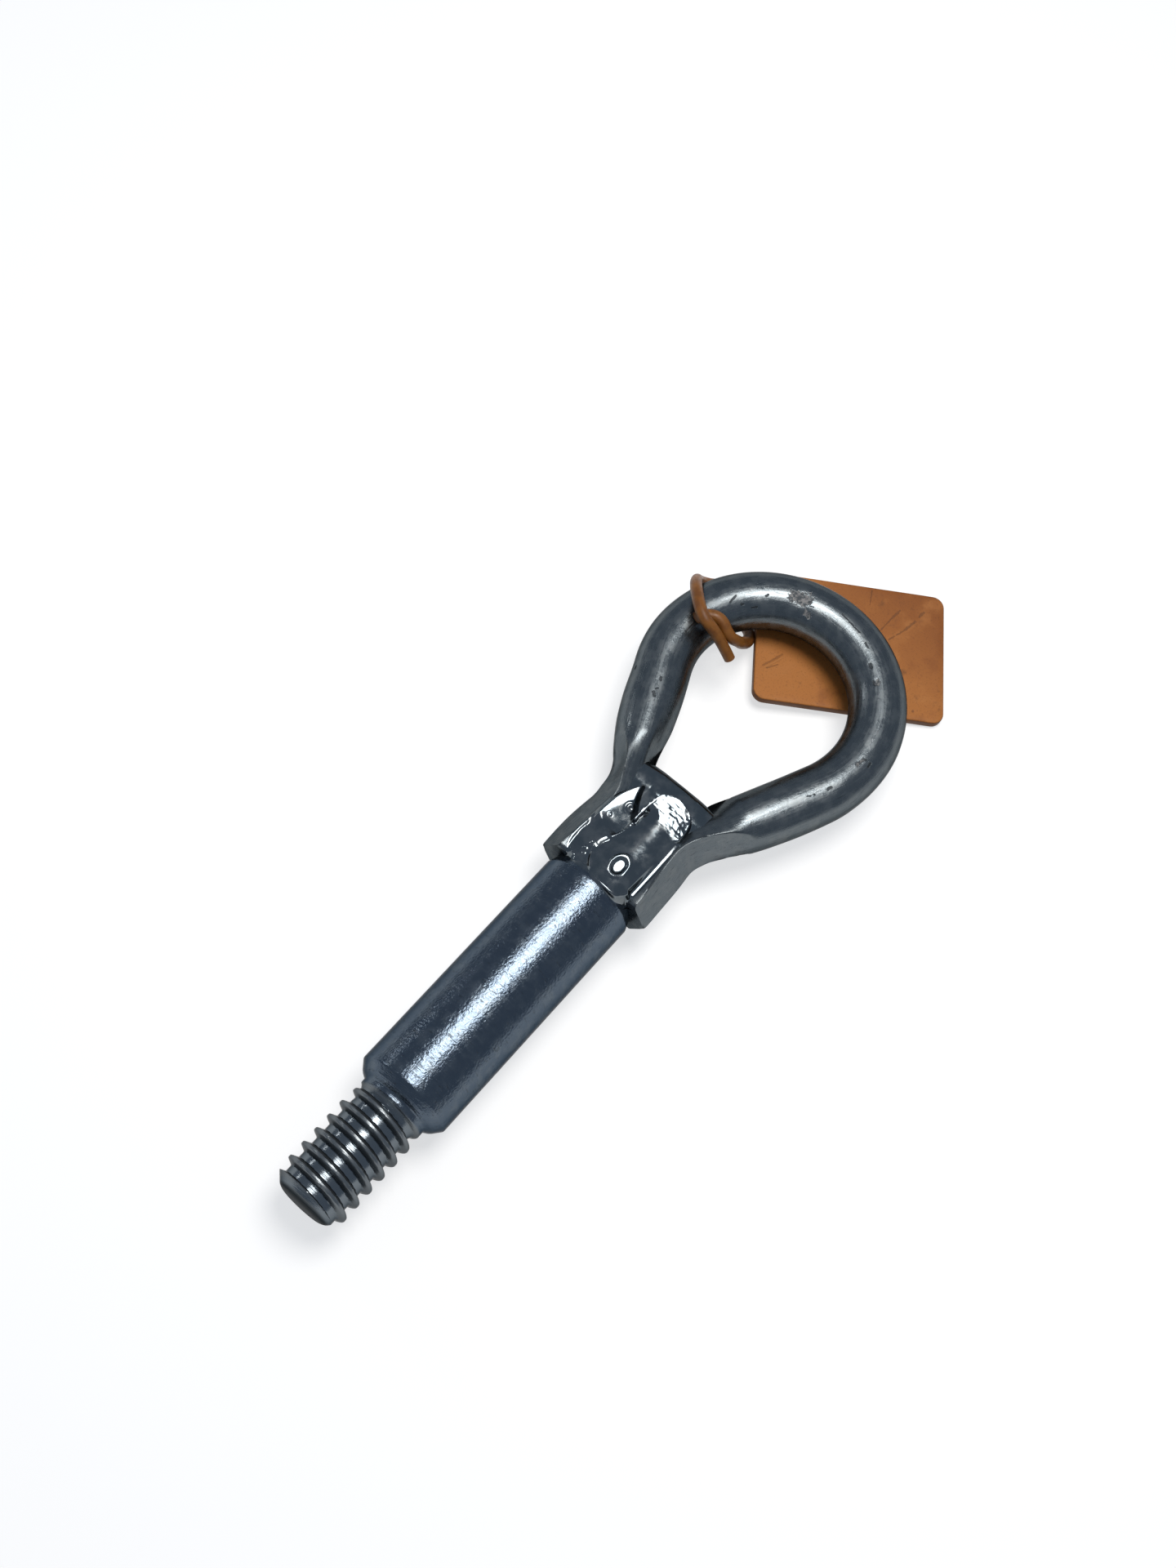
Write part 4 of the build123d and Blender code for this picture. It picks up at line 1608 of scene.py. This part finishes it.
    def ledged(self, plan: np.ndarray, inside: np.ndarray, bed: np.ndarray) -> tuple[np.ndarray, np.ndarray]:
        """Flat ledges that the pool left along parts of its outline.

        Args:
            plan: Rows of plan places.
            inside: Signed depth of each place inside the outline.
            bed: Height of what the bead lies on.

        Returns:
            Height that the toes rise from, and the depth inside the outline where they start.
        """
        x, y = plan[:, 0], plan[:, 1]
        base, start = bed.copy(), np.zeros(len(plan))
        for first, last, side, wide in self.ledges:
            edge, reach = self.along_edge(plan, first, last, side)
            steps = (-self.ledge_blur, 0.0, self.ledge_blur)
            grounds = [self.ground(np.column_stack([x + step, edge])) for step in steps]
            level = np.mean(grounds, axis=0) + self.ledge_rise + self.ledge_slope * (y - edge)
            base = base + np.clip(level - base, 0.0, None) * reach * ease(inside / self.ledge_edge)
            start = np.maximum(start, wide * reach)
        return base, start

    def rimmed(self, plan: np.ndarray, inside: np.ndarray) -> np.ndarray:
        """Height of the pool with its rolled rims, which lie flat along parts of the outline.

        Args:
            plan: Rows of plan places.
            inside: Signed depth of each place inside the outline.

        Returns:
            Height at each place.
        """
        x, y = plan[:, 0], plan[:, 1]
        pool = self.pool(plan)
        for first, last, side, wide, ahead in self.rims:
            edge, reach = self.along_edge(plan, first, last, side)
            inner = edge - side * wide
            room = np.clip(last - self.rim_stop - x, 0.0, None)
            further = x + np.minimum(ahead * ease((x - first) / self.rim_run), room)
            level = self.pool(np.column_stack([further, inner])) + self.ledge_slope * (y - inner)
            pool = pool + (level - pool) * reach * (1.0 - ease((inside - wide) / self.rim_fade))
        return pool

    def pool(self, plan: np.ndarray) -> np.ndarray:
        """Height of the frozen weld pool before its toes, with ripples, crater and droplets.

        Args:
            plan: Rows of plan places.

        Returns:
            Height at each place.
        """
        x, y = plan[:, 0], plan[:, 1]
        high = self.crown.height(x, y)
        rippled = ease((x - self.ripple_x[0]) / (self.ripple_x[1] - self.ripple_x[0]))
        flat = np.column_stack([x * self.ripple_stretch[0], y * self.ripple_stretch[1], np.zeros_like(x)])
        swell = sum(share * waver(flat, size, seed) for share, size, seed in self.ripples)
        high = high + self.ripple * swell * (self.ripple_least + (1.0 - self.ripple_least) * rippled)
        if self.crater is not None:
            (cx, cy), (rx, ry), deep = self.crater
            share = np.sqrt(((x - cx) / rx) ** 2 + ((y - cy) / ry) ** 2)
            ragged, size, seed = self.crater_ragged
            share = share + ragged * waver(flat, size, seed)
            middle = self.crown.height(np.array([cx]), np.array([cy]))[0]
            floor = middle - deep + self.crater_slope[0] * (x - cx) + self.crater_slope[1] * (y - cy)
            rim = middle + self.crater_rise + self.rim_slope[0] * (x - cx) + self.rim_slope[1] * (y - cy)
            bowl = floor + (rim - floor) * ease((share - self.crater_wall[0]) / self.crater_wall[1])
            high = bowl + (high - bowl) * ease((share - self.crater_fade[0]) / self.crater_fade[1])
        for (bx, by), size, tall in self.drops:
            share = np.hypot(x - bx, y - by) / size
            high += tall * np.exp(-(((share - self.drop_ring[0]) / self.drop_ring[1]) ** 2))
            moat = np.exp(-(((share - self.drop_moat[0]) / self.drop_moat[1]) ** 2))
            high -= self.moat_share * tall * moat
        return np.minimum(high, self.ceiling)

    def skin(self, plan: np.ndarray) -> tuple[np.ndarray, np.ndarray]:
        """Top of the bead and the signed depth inside its outline at plan places.

        Args:
            plan: Rows of plan places.

        Returns:
            Height and signed depth at each place.
        """
        bed = self.ground(plan)
        inside, toe = self.depth_inside(plan)
        base, start = self.ledged(plan, inside, bed)
        rise = np.clip(self.rimmed(plan, inside) - base, self.least_rise, None)
        risen = base + rise * ease((inside - start) / toe) + self.lip(plan, inside)
        return np.where(inside > 0, risen, bed + inside * self.skirt_slope), inside

    def build(self, finish: WeldMetal) -> None:
        """Model and dress the bead.

        Args:
            finish: Finish of the weld metal.
        """
        corners = np.array(self.outline)[:, :2]
        low, high = corners.min(0) - self.margin, corners.max(0) + self.margin
        divisions = tuple(int(v) for v in np.rint((high - low) / self.spacing))
        piece, shares, top = Bench.slab(
            self.name, divisions, lambda rows: self.depth_inside(low + rows * (high - low))[0] > -self.margin
        )
        plan = low + shares * (high - low)
        z = np.where(top, np.maximum(self.skin(plan)[0], self.foot + self.thinnest), self.foot)
        turned = self.bed.face.value
        Bench.reshape(piece, np.column_stack([plan[:, 0], plan[:, 1] * turned, z * turned]))
        Bench.settle(piece, angle=75.0)
        Bench.hand_over(piece, finish.material(), Body.TOW_EYE, Slot.WELD, self.node)


@dataclass
class Tag:
    """Flat plastic tag with rounded corners, leaning on the strand under its tied edge."""

    length: float = 42.69
    width: float = 31.49
    thickness: float = 2.2
    corner: float = 2.6
    edge: float = 0.4
    hole_inset: float = 4.5
    hole_radius: float = 2.0
    hole_plan: PlanPoint = (140.09, 16.01)
    yaw: float = -54.16
    raised: float = 2.67
    warp: float = 0.12
    warp_size: float = 16.0
    warp_seed: float = 5.5
    flat_share: float = 0.25
    corner_steps: int = 8
    edge_steps: int = 3
    hole_sides: int = 48
    cuts: int = 24

    @property
    def tilt(self) -> float:
        """Lean of the tag in radians."""
        return math.atan2(self.raised, self.length - self.hole_inset)

    def seat(self) -> Matrix:
        """Place of the tag: its own X runs to the edge on the floor, and Z is its underside's normal.

        Returns:
            Matrix in millimetres.
        """
        yaw = math.radians(self.yaw)
        along = Vector((math.cos(yaw), math.sin(yaw), 0.0))
        across = Vector((-math.sin(yaw), math.cos(yaw), 0.0))
        up = Vector((0.0, 0.0, 1.0))
        hole = Vector((*self.hole_plan, 0.0))
        middle = hole + along * (self.length / 2 - self.hole_inset) - across * (self.width / 2 - self.hole_inset)
        floor_edge = middle + along * (self.length / 2) + up * FLOOR_Z
        x_axis = along * math.cos(self.tilt) - up * math.sin(self.tilt)
        z_axis = along * math.sin(self.tilt) + up * math.cos(self.tilt)
        origin = floor_edge - x_axis * (self.length / 2)
        turned = Matrix((x_axis, across, z_axis)).transposed().to_4x4()
        return Matrix.Translation(origin) @ turned

    def on_face(self, x: float, y: float) -> Point:
        """Frame point of a place on the tag's upper face."""
        return tuple(self.seat() @ Vector((x, y, self.thickness)))

    def line(self, start: PlanPoint, end: PlanPoint, width: float, ragged: float) -> Mark:
        """Mark between two places on the upper face."""
        return Mark(self.on_face(*start), self.on_face(*end), width, ragged)

    def finish(self) -> TagPlastic:
        """Plastic with the scratches, and the crease with its raised edge, painted as the fold's shade and
        highlight.

        Returns:
            The finish.
        """
        scratches = (
            self.line((6.9, 5.4), (9.2, 8.6), 0.20, 2.4),
            self.line((9.2, 8.6), (11.1, 10.8), 0.28, 2.4),
            self.line((8.6, 3.1), (12.6, 6.4), 0.22, 2.6),
            self.line((12.6, 6.4), (14.6, 8.6), 0.36, 2.4),
            self.line((15.6, 10.0), (16.6, 11.3), 0.34, 2.4),
            self.line((4.2, 11.3), (4.6, 14.9), 0.16, 2.4),
            self.line((14.2, -13.6), (14.3, -13.5), 0.35, 1.4),
        )
        creases = (
            self.line((-19.6, -7.7), (-17.3, -6.0), 0.22, 1.8),
            self.line((-17.3, -6.0), (-15.3, -4.4), 0.26, 1.8),
            self.line((-18.6, -8.2), (-16.2, -7.0), 0.16, 1.8),
        )
        raised = (
            self.line((-19.3, -8.2), (-17.1, -6.6), 0.24, 1.4),
            self.line((-17.1, -6.6), (-15.1, -5.0), 0.24, 1.4),
        )
        up = tuple(self.seat().to_3x3() @ Vector((0.0, 0.0, 1.0)))
        return TagPlastic("tag_orange", up, scratches=scratches, creases=creases, raised=raised)

    def build(self) -> None:
        """Model and dress the tag."""
        Bench.clear()
        bpy.ops.mesh.primitive_plane_add(size=1.0)
        piece = bpy.context.object
        piece.name = "tag_plate"
        piece.scale = (self.length, self.width, 1.0)
        bpy.ops.object.transform_apply(location=False, rotation=False, scale=True)
        bpy.ops.object.mode_set(mode="EDIT")
        bpy.ops.mesh.select_all(action="SELECT")
        bpy.ops.mesh.bevel(offset=self.corner, offset_type="OFFSET", segments=self.corner_steps, affect="VERTICES")
        bpy.ops.mesh.select_all(action="SELECT")
        bpy.ops.mesh.extrude_region_move(TRANSFORM_OT_translate={"value": (0.0, 0.0, self.thickness)})
        flat = 1e-4
        Bench.pick_edges(piece, lambda a, b: abs(a.z - b.z) < flat)
        bpy.ops.mesh.bevel(offset=self.edge, offset_type="OFFSET", segments=self.edge_steps, affect="EDGES")
        bpy.ops.object.mode_set(mode="OBJECT")
        self.drill(piece)
        self.bow(piece)
        piece.data.transform(Matrix.Scale(MM, 4) @ self.seat())
        Bench.settle(piece, angle=32.0)
        Bench.hand_over(piece, self.finish().material(), Body.TAG, Slot.TAG, "tag")

    def drill(self, piece: bpy.types.Object) -> None:
        """Cut the tie hole through the plate.

        Args:
            piece: The plate.
        """
        place = (-self.length / 2 + self.hole_inset, self.width / 2 - self.hole_inset, self.thickness / 2)
        bpy.ops.mesh.primitive_cylinder_add(
            vertices=self.hole_sides, radius=self.hole_radius, depth=6 * self.thickness, location=place
        )
        drill = bpy.context.object
        cut = piece.modifiers.new("tie_hole", "BOOLEAN")
        cut.operation = "DIFFERENCE"
        cut.object = drill
        Bench.clear()
        piece.select_set(True)
        bpy.context.view_layer.objects.active = piece
        bpy.ops.object.modifier_apply(modifier=cut.name)
        bpy.data.objects.remove(drill)

    def bow(self, piece: bpy.types.Object) -> None:
        """Divide the plate and give its faces a slight handled unevenness.

        Args:
            piece: The plate.
        """
        bpy.ops.object.mode_set(mode="EDIT")
        for axis, size in (((1.0, 0.0, 0.0), self.length), ((0.0, 1.0, 0.0), self.width)):
            for step in range(1, self.cuts):
                bpy.ops.mesh.select_all(action="SELECT")
                place = tuple(a * size * (step / self.cuts - 0.5) for a in axis)
                bpy.ops.mesh.bisect(plane_co=place, plane_no=axis)
        bpy.ops.object.mode_set(mode="OBJECT")
        points = Bench.coordinates(piece)
        plan = np.column_stack([points[:, 0], points[:, 1], np.zeros(len(points))])
        to_floor = np.clip((self.length / 2 - points[:, 0]) / self.length, 0.0, 1.0)
        points[:, 2] += self.warp * waver(plan, self.warp_size, self.warp_seed) * ease(to_floor / self.flat_share)
        piece.data.vertices.foreach_set("co", points.ravel())


@dataclass
class Tie:
    """Plastic strand half-knotted on the bar, with one leg down to the tag's hole and two cut tails."""

    eye: EyeRing
    tag: Tag
    radius: float = 1.15
    floor_gap: float = 0.14
    round_steps: int = 7
    length_steps: int = 14

    def beside_bar(self, along: float, around: float, gap: float) -> Point:
        """Point beside the bar.

        Args:
            along: Angle along the eye in degrees.
            around: Angle round the bar in degrees, 0 on its outer side and 90 on top.
            gap: Gap between the strand and the bar.

        Returns:
            The point.
        """
        reach = self.eye.bar_radius + gap + self.radius
        radius = self.eye.radius + reach * math.cos(math.radians(around))
        return (
            self.eye.centre_x + radius * math.cos(math.radians(along)),
            radius * math.sin(math.radians(along)),
            self.eye.lift + reach * math.sin(math.radians(around)),
        )

    def under_tag(self, back: float, aside: float, swelling: float) -> tuple[Point, float]:
        """Point where the strand lies on the floor, and its swelling there.

        Args:
            back: Distance back from the tag's hole, along the tag.
            aside: Distance aside from the hole.
            swelling: Share of the strand's radius.

        Returns:
            The point and the swelling.
        """
        yaw = math.radians(self.tag.yaw)
        x = self.tag.hole_plan[0] - back * math.cos(yaw) + aside * math.sin(yaw)
        y = self.tag.hole_plan[1] - back * math.sin(yaw) - aside * math.cos(yaw)
        return (x, y, FLOOR_Z + self.floor_gap + self.radius * swelling), swelling

    def route(self) -> list[tuple[Point, float]]:
        """Points of the strand from one cut tail, through the tag's hole, to the other.

        Returns:
            Each point with its share of the strand's radius.
        """
        hole = self.tag.hole_plan
        above_hole = self.beside_bar(32.0, 322.5, 1.2)[2]
        return [
            (self.beside_bar(87.0, 170.4, 4.7), 1.06),
            (self.beside_bar(87.5, 135.4, 3.1), 1.10),
            (self.beside_bar(89.9, 106.3, 3.7), 1.16),
            (self.beside_bar(77.4, 67.5, 1.7), 1.18),
            (self.beside_bar(70.2, 24.7, 0.33), 1.02),
            (self.beside_bar(66.5, 354.6, 0.4), 0.96),
            (self.beside_bar(60.3, 334.4, 0.5), 1.00),
            (self.beside_bar(48.4, 325.5, 1.1), 1.00),
            ((*hole, above_hole), 1.00),
            self.under_tag(0.0, 0.0, 1.00),
            self.under_tag(9.2, 5.0, 1.25),
            self.under_tag(4.9, 9.0, 1.15),
            (self.beside_bar(48.4, 231.0, 2.5), 1.22),
            (self.beside_bar(59.7, 197.5, 1.4), 1.20),
            (self.beside_bar(68.1, 166.4, 3.1), 1.08),
            (self.beside_bar(78.5, 150.0, 3.0), 1.16),
            (self.beside_bar(77.2, 125.1, 1.8), 1.32),
            (self.beside_bar(83.5, 107.1, 0.45), 1.20),
            (self.beside_bar(88.6, 104.4, 0.5), 1.15),
        ]

    def finish(self) -> TiePlastic:
        """Plastic that is pale at its sharpest bend and at both cut ends.

        Returns:
            The finish.
        """
        places = [point for point, _ in self.route()]
        pale = (
            Mark(places[4], places[5], 1.6, 0.8),
            Mark(places[0], places[0], 1.5, 0.8),
            Mark(places[-1], places[-1], 1.2, 0.8),
        )
        return TiePlastic("tie_ochre", pale_spots=pale)

    def build(self) -> None:
        """Model and dress the strand."""
        Bench.clear()
        line = bpy.data.curves.new("tie_line", "CURVE")
        line.dimensions = "3D"
        line.bevel_depth = self.radius * MM
        line.bevel_resolution = self.round_steps
        line.resolution_u = self.length_steps
        line.use_fill_caps = True
        points = self.route()
        spline = line.splines.new("NURBS")
        spline.points.add(len(points) - 1)
        for knot, (point, swelling) in zip(spline.points, points):
            knot.co = (*(v * MM for v in point), 1.0)
            knot.radius = swelling
        spline.order_u = 3
        spline.use_endpoint_u = True
        piece = bpy.data.objects.new("tie_strand", line)
        bpy.context.scene.collection.objects.link(piece)
        piece.select_set(True)
        bpy.context.view_layer.objects.active = piece
        bpy.ops.object.convert(target="MESH")
        piece = bpy.context.object
        Bench.settle(piece, angle=50.0)
        Bench.hand_over(piece, self.finish().material(), Body.TIE, Slot.TIE, "tag_tie")


@dataclass(frozen=True)
class Lamp:
    """Round lamp: its place, the point that it faces and its diameter in millimetres, and its power in watts."""

    name: str
    at: Point
    target: Point
    size: float
    power: float


@dataclass
class Studio:
    """Pale floor, soft lamps and the camera."""

    floor_size: float = 6.0
    floor_colour: Colour = (0.46, 0.46, 0.46)
    floor_glow: float = 0.63
    floor_roughness: float = 0.9
    sky: Colour = (0.240, 0.285, 0.350)
    lamp_colour: Colour = (1.0, 0.965, 0.925)
    lamps: Sequence[Lamp] = (
        Lamp("lamp_main", (165.0, -8.0, 470.0), (110.0, -5.0, 0.0), 240.0, 1.75),
        Lamp("lamp_left", (40.0, 450.0, 200.0), (20.0, 0.0, 0.0), 45.0, 0.08),
    )
    camera_at: Point = (-78.68, -64.36, 384.98)
    camera_ahead: Point = (0.3618, 0.1898, -0.9127)
    camera_right: Point = (0.6418, -0.7608, 0.0961)
    lens: float = 46.875
    sensor: float = 36.0

    @staticmethod
    def seen(canvas: Canvas) -> bpy.types.NodeSocket:
        """1 for camera, glossy and transmission rays.

        Args:
            canvas: Canvas of the material.

        Returns:
            Float socket.
        """
        path = canvas.add("LightPath").outputs
        either = canvas.math("MAXIMUM", path["Is Camera Ray"], path["Is Glossy Ray"])
        return canvas.math("MAXIMUM", either, path["Is Transmission Ray"])

    def build_floor(self) -> None:
        """Plain pale floor that shows white and keeps the object's shadow."""
        Bench.clear()
        bpy.ops.mesh.primitive_plane_add(size=self.floor_size, location=(0.0, 0.0, FLOOR_Z * MM))
        floor = bpy.context.object
        floor.name = "floor"
        material = bpy.data.materials.new("floor_pale")
        material.use_nodes = True
        canvas = Canvas(material.node_tree)
        shader = material.node_tree.nodes["Principled BSDF"]
        shader.inputs["Base Color"].default_value = (*self.floor_colour, 1.0)
        shader.inputs["Roughness"].default_value = self.floor_roughness
        shader.inputs["Specular IOR Level"].default_value = 0.0
        shader.inputs["Emission Color"].default_value = (1.0, 1.0, 1.0, 1.0)
        glow = canvas.math("MULTIPLY", self.seen(canvas), self.floor_glow)
        canvas.feed(shader.inputs["Emission Strength"], glow)
        floor.data.materials.append(material)

    def build_sky(self) -> None:
        """Dim cool ceiling, white towards the horizon and wherever the camera looks past the floor."""
        world = bpy.data.worlds.new("studio_sky")
        bpy.context.scene.world = world
        world.use_nodes = True
        canvas = Canvas(world.node_tree)
        up = canvas.add("SeparateXYZ", Vector=canvas.add("TexCoord").outputs["Generated"]).outputs["Z"]
        path = canvas.add("LightPath").outputs
        level = canvas.math("MULTIPLY", self.seen(canvas), canvas.span(up, 0.0, -0.02))
        white = canvas.math("MAXIMUM", level, path["Is Camera Ray"])
        colour = canvas.blend(white, self.sky, (1.0, 1.0, 1.0))
        canvas.feed(world.node_tree.nodes["Background"].inputs["Color"], colour)

    def add_lamp(self, lamp: Lamp) -> None:
        """Place one lamp.

        Args:
            lamp: Values of the lamp.
        """
        data = bpy.data.lights.new(lamp.name, "AREA")
        data.shape = "DISK"
        data.size = lamp.size * MM
        data.energy = lamp.power
        data.color = self.lamp_colour
        placed = bpy.data.objects.new(lamp.name, data)
        bpy.context.scene.collection.objects.link(placed)
        placed.location = Vector(lamp.at) * MM
        placed.rotation_euler = (Vector(lamp.target) - Vector(lamp.at)).to_track_quat("-Z", "Y").to_euler()

    def build_camera(self) -> None:
        """Camera at the photograph's angle."""
        data = bpy.data.cameras.new("camera")
        data.lens = self.lens
        data.sensor_width = self.sensor
        data.sensor_fit = "AUTO"
        camera = bpy.data.objects.new("camera", data)
        bpy.context.scene.collection.objects.link(camera)
        back = -Vector(self.camera_ahead).normalized()
        right = Vector(self.camera_right).normalized()
        turned = Matrix((right, back.cross(right), back)).transposed().to_4x4()
        camera.matrix_world = Matrix.Translation(Vector(self.camera_at) * MM) @ turned
        data.clip_start = 0.01
        bpy.context.scene.camera = camera

    def build(self) -> None:
        """Floor, sky, lamps and camera."""
        self.build_floor()
        self.build_sky()
        for lamp in self.lamps:
            self.add_lamp(lamp)
        self.build_camera()
        bpy.context.scene.view_settings.view_transform = "Standard"


def weld_beads(shank: Shank, eye: EyeRing, root: WeldRoot) -> list[WeldBead]:
    """The four beads of the head.

    Args:
        shank: Shank under the beads.
        eye: Eye whose legs they join.
        root: Weld metal between the legs.

    Returns:
        Front side, front main, back side and back main bead.
    """
    front = BeadBed(Face.FRONT, shank, eye, root)
    back = BeadBed(Face.BACK, shank, eye, root)
    main_outline = (
        (54.6, -1.5, 0.6), (54.5, -5.6, 0.7), (55.6, -7.2, 0.9), (57.6, -8.2, 1.0),
        (63.0, -8.4, 1.1), (68.0, -8.4, 1.2), (72.5, -8.2, 0.7), (77.0, -7.7, 0.5),
        (79.6, -6.2, 0.5), (80.6, -3.6, 0.6), (80.7, -1.4, 0.6), (80.0, 0.8, 0.6),
        (78.2, 2.0, 0.6), (75.5, 2.4, 0.5), (72.0, 2.6, 0.5), (68.3, 2.6, 0.5),
        (65.5, 3.5, 0.5), (62.8, 4.8, 0.5), (60.0, 4.2, 0.5), (57.8, 3.4, 0.5),
        (56.0, 1.9, 0.5), (55.0, 0.4, 0.6),
    )
    side_outline = (
        (78.9, 5.5, 0.7), (76.2, 7.3, 0.8), (72.9, 8.6, 0.9), (69.5, 9.0, 0.9),
        (66.5, 9.2, 0.8), (62.5, 9.6, 0.7), (59.2, 9.4, 0.8), (57.2, 8.3, 1.0),
        (55.9, 6.4, 1.2), (55.3, 3.4, 1.2), (56.0, 0.8, 1.5), (62.0, 0.2, 1.5),
        (70.0, 0.4, 1.5), (72.2, 1.9, 1.8), (74.7, 3.5, 1.4), (77.0, 4.6, 1.0),
    )
    front_main = Crown(
        x=(54.0, 55.2, 57.0, 64.0, 72.2, 73.2, 76.0, 80.5),
        y=(-2.5,) * 8,
        z=(10.98, 10.83, 10.58, 9.64, 9.12, 9.10, 9.20, 9.38),
        left=(-0.02, -0.02, -0.03, -0.05, -0.05, 0.08, 0.09, 0.09),
        right=(0.03, 0.03, 0.03, 0.03, 0.05, 0.17, 0.19, 0.19),
        rounding=(0.045, 0.045, 0.045, 0.045, 0.035, 0.0, 0.0, 0.0),
        left_rounding=(0.018, 0.018, 0.018, 0.026, 0.045, 0.0, 0.0, 0.0),
        skew=0.5,
    )
    front_side = Crown(
        x=(55.0, 56.0, 57.8, 60.0, 62.8, 64.6, 66.6, 68.0, 70.5, 72.5, 74.5, 78.6),
        y=(0.2, 1.6, 3.1, 3.9, 4.4, 3.7, 6.8, 8.4, 7.4, 6.0, 4.9, 5.4),
        z=(9.6, 9.5, 9.3, 9.2, 9.12, 9.08, 8.62, 8.60, 8.55, 8.5, 8.58, 8.7),
        left=(-0.30, -0.32, -0.34, -0.34, -0.34, -0.34, -0.30, 0.06, 0.06, 0.06, 0.06, 0.06),
        right=(0.45, 0.45, 0.45, 0.45, 0.45, 0.42, 0.34, 0.26, 0.28, 0.32, 0.36, 0.36),
        rounding=(0.0,) * 12,
    )
    back_main = Crown(
        x=(54.0, 58.0, 66.0, 74.0, 80.5),
        y=(-2.6,) * 5,
        z=(10.4, 10.45, 10.4, 10.2, 10.0),
        left=(0.0,) * 5,
        right=(0.0,) * 5,
        rounding=(0.03,) * 5,
    )
    back_side = Crown(
        x=(55.0, 60.0, 66.0, 72.0, 78.0),
        y=(7.0, 8.0, 7.8, 6.8, 5.4),
        z=(8.6, 9.0, 9.0, 8.8, 8.3),
        left=(-0.04,) * 5,
        right=(0.14,) * 5,
        rounding=(0.01,) * 5,
    )
    side = WeldBead(
        name="weld_bead_front_side",
        node="weld_front_left",
        bed=front,
        outline=side_outline,
        crown=front_side,
        ripple=0.04,
        ripple_x=(66.0, 58.0),
        lips=((57.8, 65.2, 1, 0.055),),
        drops=(
            ((72.5, 4.2), 0.95, 0.24),
            ((68.6, 6.5), 0.4, 0.12),
            ((61.5, 5.0), 0.65, 0.15),
            ((59.7, 5.5), 0.5, 0.15),
            ((58.6, 5.0), 0.4, 0.12),
            ((57.0, 6.7), 0.5, 0.14),
        ),
    )
    main = WeldBead(
        name="weld_bead_front_main",
        node="weld_front_right",
        bed=front,
        outline=main_outline,
        crown=front_main,
        ripple=0.075,
        ripple_x=(71.8, 75.0),
        crater=((60.7, -2.3), (2.5, 1.75), 0.42),
        ledges=((57.4, 73.6, -1, 0.7),),
        rims=((55.2, 69.5, 1, 0.75, 0.0), (60.8, 64.2, 1, 1.25, 0.0), (68.4, 79.0, 1, 0.95, 5.0)),
        under=side,
    )
    far_side = WeldBead(
        name="weld_bead_back_side",
        node="weld_back_right",
        bed=back,
        outline=side_outline,
        crown=back_side,
        ripple=0.05,
        ripple_x=(58.0, 60.0),
        ceiling=10.4,
        foot=1.0,
    )
    far_main = WeldBead(
        name="weld_bead_back_main",
        node="weld_back_left",
        bed=back,
        outline=main_outline,
        crown=back_main,
        ripple=0.05,
        ripple_x=(58.0, 60.0),
        under=far_side,
        ceiling=10.5,
        foot=1.0,
    )
    return [side, main, far_side, far_main]


def main() -> None:
    """Load the frame and build every piece in order."""
    logging.basicConfig(level=logging.INFO, format="%(name)s: %(message)s")
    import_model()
    Effects.make_grain()
    Effects.make_mark()

    shank = Shank()
    eye = EyeRing()
    root = WeldRoot()
    tag = Tag()
    tie = Tie(eye, tag)
    weld = WeldMetal("weld_bright")

    shank.build(TurnedSteel("plated_shank"))
    eye.build()
    root.build(weld)
    for bead in weld_beads(shank, eye, root):
        bead.build(weld)
    tag.build()
    tie.build()
    Studio().build()

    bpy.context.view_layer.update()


if __name__ == "__main__":
    main()
